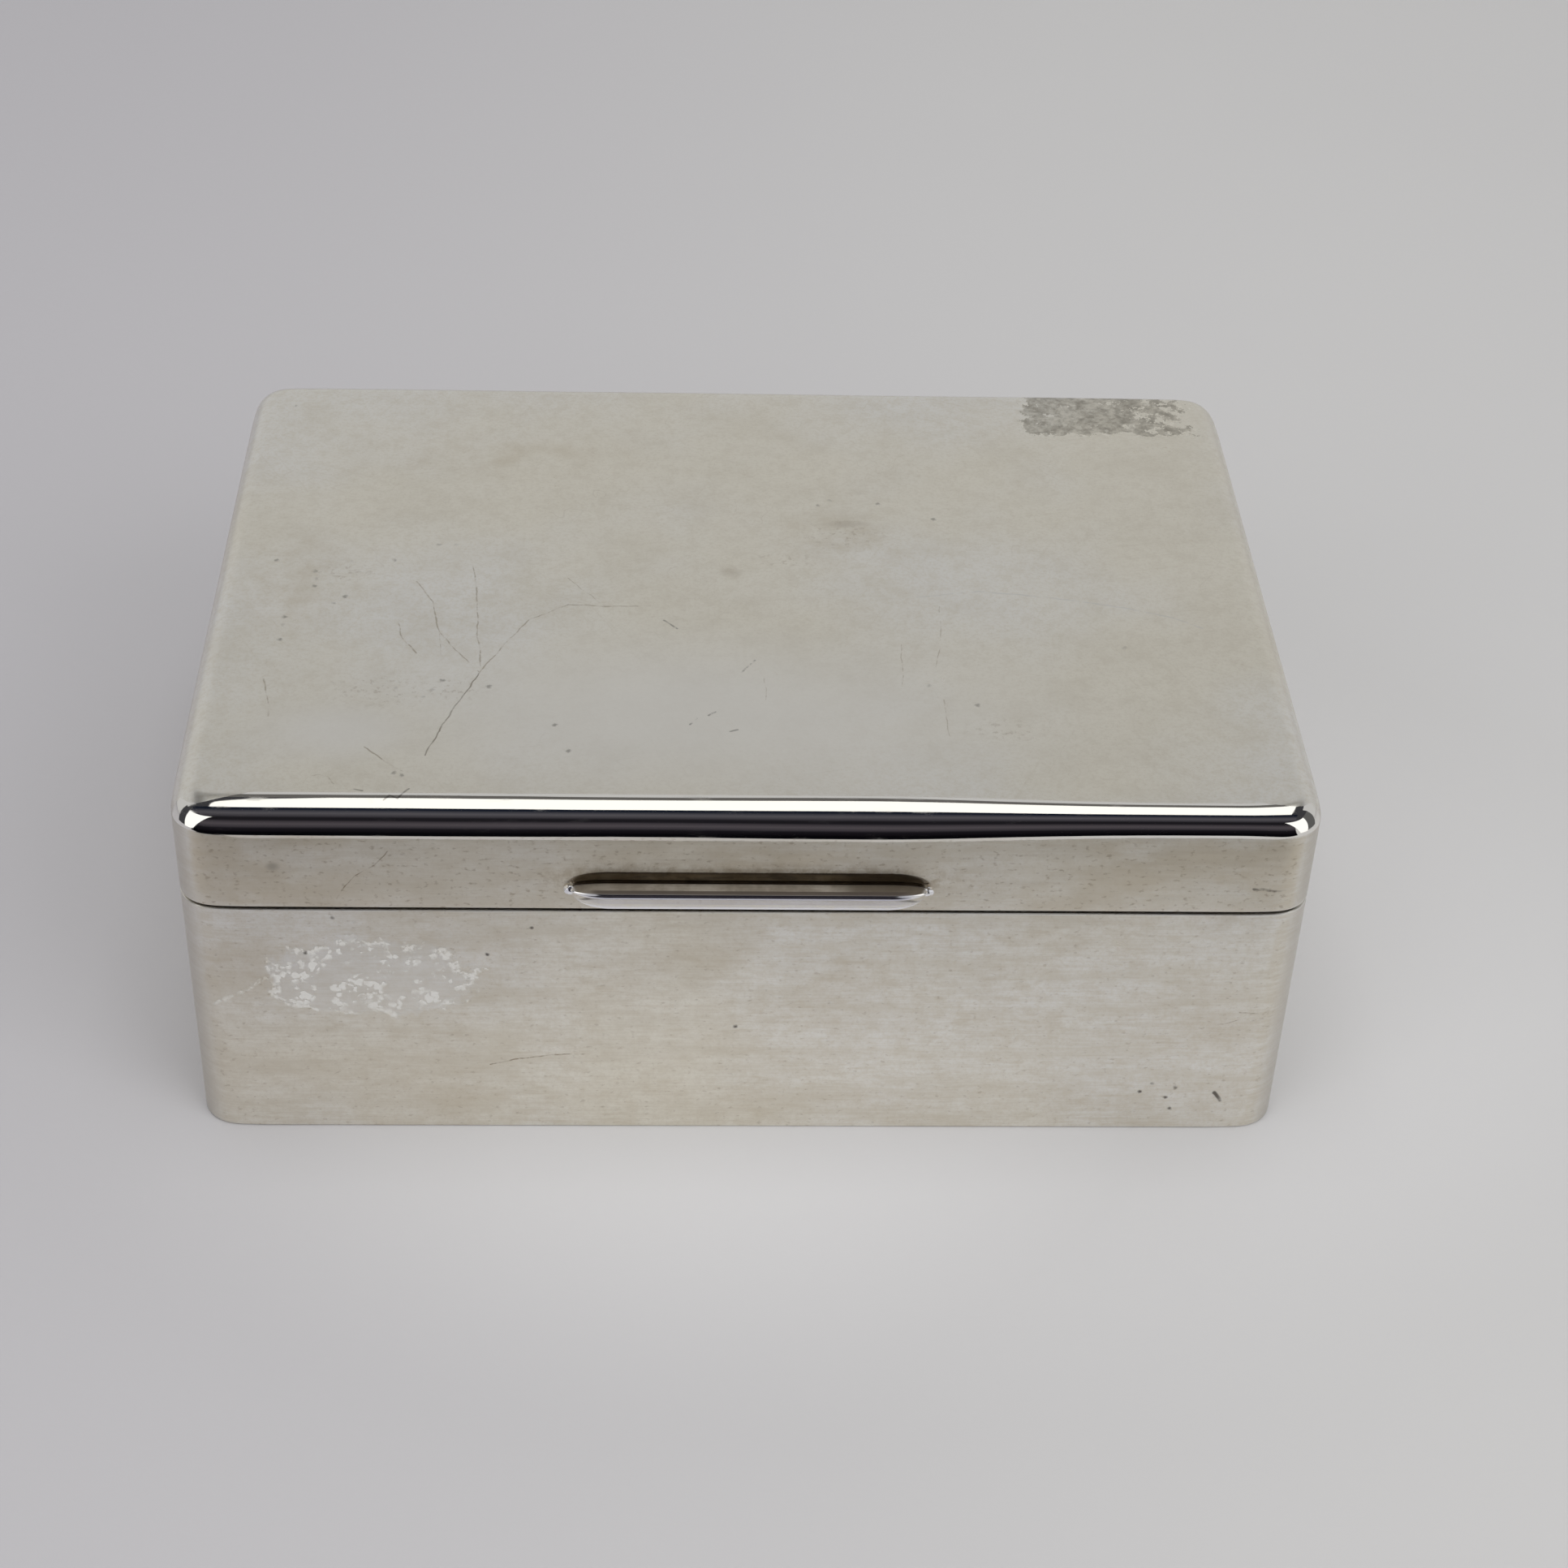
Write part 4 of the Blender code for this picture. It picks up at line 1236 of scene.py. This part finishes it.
def add_lamps():
    for name, azimuth, elevation, distance, aim, side, power in LAMPS:
        data = bpy.data.lights.new(name, "AREA")
        assign(data, shape="RECTANGLE", size=side, size_y=side, energy=power)
        place = towards(azimuth, elevation) * distance
        turn = (Vector(aim) - place).to_track_quat("-Z", "Y").to_euler()
        lamp = assign(in_scene(name, data), location=place, rotation_euler=turn)
        assign(lamp, visible_glossy=False, visible_camera=False)


CARD_COLOUR = "card_colour"
REACH_SHARE = 1.006
REACH_SPARE = 6 * MM


def glow(name, colour=None):
    """An even light for a card. Without a colour, the card's own shows, as far as its reach."""
    material = bpy.data.materials.new(name)
    material.use_nodes = True
    nodes, link = material.node_tree.nodes, material.node_tree.links.new
    nodes.clear()
    emission = nodes.new("ShaderNodeEmission")
    surface = nodes.new("ShaderNodeOutputMaterial").inputs["Surface"]
    if colour:
        emission.inputs["Color"].default_value = (*colour, 1.0)
        link(emission.outputs[0], surface)
    else:
        own = assign(nodes.new("ShaderNodeAttribute"), attribute_name=CARD_COLOUR).outputs
        link(own["Color"], emission.inputs["Color"])
        beyond = assign(nodes.new("ShaderNodeMath"), operation="GREATER_THAN")
        link(nodes.new("ShaderNodeLightPath").outputs["Ray Length"], beyond.inputs[0])
        link(own["Alpha"], beyond.inputs[1])
        clear = nodes.new("ShaderNodeBsdfTransparent")
        either = nodes.new("ShaderNodeMixShader")
        for source, socket in zip((beyond, emission, clear), either.inputs):
            link(source.outputs[0], socket)
        link(either.outputs[0], surface)
    material.cycles.emission_sampling = "NONE"
    return material


def card_reach(point):
    """How far off a surface may be to show a card's point: little beyond the front edge of the lid."""
    nearest = Vector((min(max(point.x, -WIDTH / 2), WIDTH / 2), FRONT, TOP))
    return (point - nearest).length * REACH_SHARE + REACH_SPARE


def add_card(name, rows, material, colours=()):
    """A card through rows of points, that only glossy rays meet. Colours are given for each row."""
    bm = bmesh.new()
    layer = bm.verts.layers.float_color.new(CARD_COLOUR)
    grid = [[bm.verts.new(point) for point in row] for row in rows]
    for row, colour in zip(grid, colours):
        for vert in row:
            vert[layer] = (*colour, card_reach(vert.co))
    for low, high in zip(grid, grid[1:]):
        for i in range(len(low) - 1):
            bm.faces.new((low[i], low[i + 1], high[i + 1], high[i]))
    obj = new_object(name, bm, material)
    assign(obj, visible_camera=False, visible_diffuse=False, visible_shadow=False, visible_transmission=False)


EDGE_MIDDLE = Vector((0, FRONT, TOP))
LEFT_CORNER = Vector((-WIDTH / 2, FRONT, TOP))
RIGHT_CORNER = Vector((WIDTH / 2, FRONT, TOP))
WINDOW_WHITE = (1.15, 1.15, 1.13)
WINDOW_DARK = (0.05, 0.05, 0.055)
WINDOW_GREY = (0.11, 0.11, 0.11)
UPPER_DARK = (0.045, 0.045, 0.05)
DOME_STEPS_UP = 12

# Cards at the front corners, in metres and degrees: centre, distance, azimuths, elevations, and how far
# each side turns from foot to head. The arc above them has its shape in the same order
WINDOWS = (
    ("window_left", "window_white", LEFT_CORNER, 0.12, (-68, -46), (-24, 36), (0, 31)),
    ("window_right", "window_white", RIGHT_CORNER, 0.12, (50, 70), (-26, 34), (-26, 0)),
    ("frame_left", "window_frame", LEFT_CORNER, 0.132, (-92, -68), (-22, 36), (0, 0)),
    ("frame_right", "frame_grey", RIGHT_CORNER, 0.132, (70, 100), (-20, 36), (0, 0)),
)
UPPER_ARC = (EDGE_MIDDLE, 1.3, (-84, 100), (30, 72), (0, 0))
UPPER_STEPS = 48

# The white panel above the edge: height, angles from the zenith and ends in metres, with two cards behind it
PANEL_WHITE = (1.18, 1.17, 1.12)
PANEL_FRAME = (0.13, 0.125, 0.12)
PANEL_HEIGHT = 0.9
PANEL_NEAR = -14
PANEL_FAR = 30
PANEL_FRAME_FAR = 46
PANEL_LEFT_NEAR = -0.29
PANEL_LEFT_FAR = -0.15
PANEL_RIGHT = 0.50
BEHIND_PANEL = (-0.6, 0.9)
ENDS_LIFT = 0.01
FRAME_LIFT = 0.02

# The dark side of the room as the edge shows it: angle from the back through the top, distance and colour
DARK_SIDE = (
    (217, 0.07, (0.002, 0.002, 0.003)), (206, 0.09, (0.002, 0.002, 0.003)),
    (198, 0.14, (0.006, 0.005, 0.007)), (186, 0.22, (0.010, 0.009, 0.012)),
    (178, 0.28, (0.045, 0.040, 0.048)), (168, 0.36, (0.075, 0.066, 0.076)),
    (159, 0.44, (0.050, 0.044, 0.052)), (152, 0.52, (0.012, 0.011, 0.014)),
    (143, 0.60, (0.012, 0.011, 0.014)), (136, 0.68, (0.048, 0.045, 0.054)),
    (126, 0.76, (0.088, 0.084, 0.096)), (118, 0.82, (0.050, 0.050, 0.062)),
    (112, 0.87, (0.010, 0.013, 0.022)), (104, 0.92, (0.009, 0.012, 0.021)),
)
DARK_HALF = 0.056
DARK_SPREAD = (44, 36)
DARK_FOOT = 0.001
CARD_STEPS = 16


def dome_card(name, centre, distance, azimuths, elevations, turns, material, across=16, colours=()):
    """A card on a sphere about centre. Its two sides turn by those angles from its foot to its head."""
    rows = []
    for j in range(DOME_STEPS_UP + 1):
        elevation = elevations[0] + (elevations[1] - elevations[0]) * j / DOME_STEPS_UP
        first, last = (azimuth + turn * j / DOME_STEPS_UP for azimuth, turn in zip(azimuths, turns))
        steps = [first + (last - first) * i / across for i in range(across + 1)]
        rows.append([centre + towards(azimuth, elevation) * distance for azimuth in steps])
    add_card(name, rows, material, colours)


def ceiling_y(angle):
    return PANEL_HEIGHT * math.tan(math.radians(angle)) + FRONT


def add_surroundings():
    """What the polished edge shows: two windows, a white ceiling panel, and the dark side of the room."""
    colours = {"window_white": WINDOW_WHITE, "window_frame": WINDOW_DARK, "frame_grey": WINDOW_GREY}
    lights = {name: glow(name, colour) for name, colour in colours.items()}
    for name, light, *shape in WINDOWS:
        dome_card(name, *shape, lights[light])
    dark_side = glow("dark_side")
    upper = [UPPER_DARK] * (DOME_STEPS_UP + 1)
    dome_card("upper_arc", *UPPER_ARC, dark_side, across=UPPER_STEPS, colours=upper)

    ceiling = TOP + PANEL_HEIGHT
    near, far = ceiling_y(PANEL_NEAR), ceiling_y(PANEL_FAR)
    sides = ((PANEL_LEFT_NEAR, near), (PANEL_LEFT_FAR, far))
    panel = [[Vector((x, y, ceiling)) for x in (left, PANEL_RIGHT)] for left, y in sides]
    add_card("ceiling_panel", panel, glow("panel_white", PANEL_WHITE))
    behind = (
        ("panel_ends", far, ENDS_LIFT, glow("upper_dark", UPPER_DARK)),
        ("ceiling_frame", ceiling_y(PANEL_FRAME_FAR), FRAME_LIFT, glow("panel_frame", PANEL_FRAME)),
    )
    for name, last, lift, material in behind:
        rows = [[Vector((x, y, ceiling + lift)) for x in BEHIND_PANEL] for y in (near, last)]
        add_card(name, rows, material)

    rows = []
    for turn, distance, colour in DARK_SIDE:
        left, right = (DARK_HALF + distance * math.tan(math.radians(spread)) for spread in DARK_SPREAD)
        y = FRONT + distance * math.cos(math.radians(turn))
        z = max(TOP + distance * math.sin(math.radians(turn)), DARK_FOOT)
        steps = [-left + (right + left) * step / CARD_STEPS for step in range(CARD_STEPS + 1)]
        rows.append([Vector((x, y, z)) for x in steps])
    add_card("dark_front", rows, dark_side, [colour for turn, distance, colour in DARK_SIDE])


side_band()
base_plate()
lid_shell()
thumb_piece()
hinge(plain_silver("silver_hinge"), drawn_steel("steel_pin"))
dress_boards()
add_floor()
add_world()
add_surroundings()
add_lamps()
add_camera()
bpy.context.scene.view_settings.view_transform = "Standard"

bpy.context.view_layer.update()
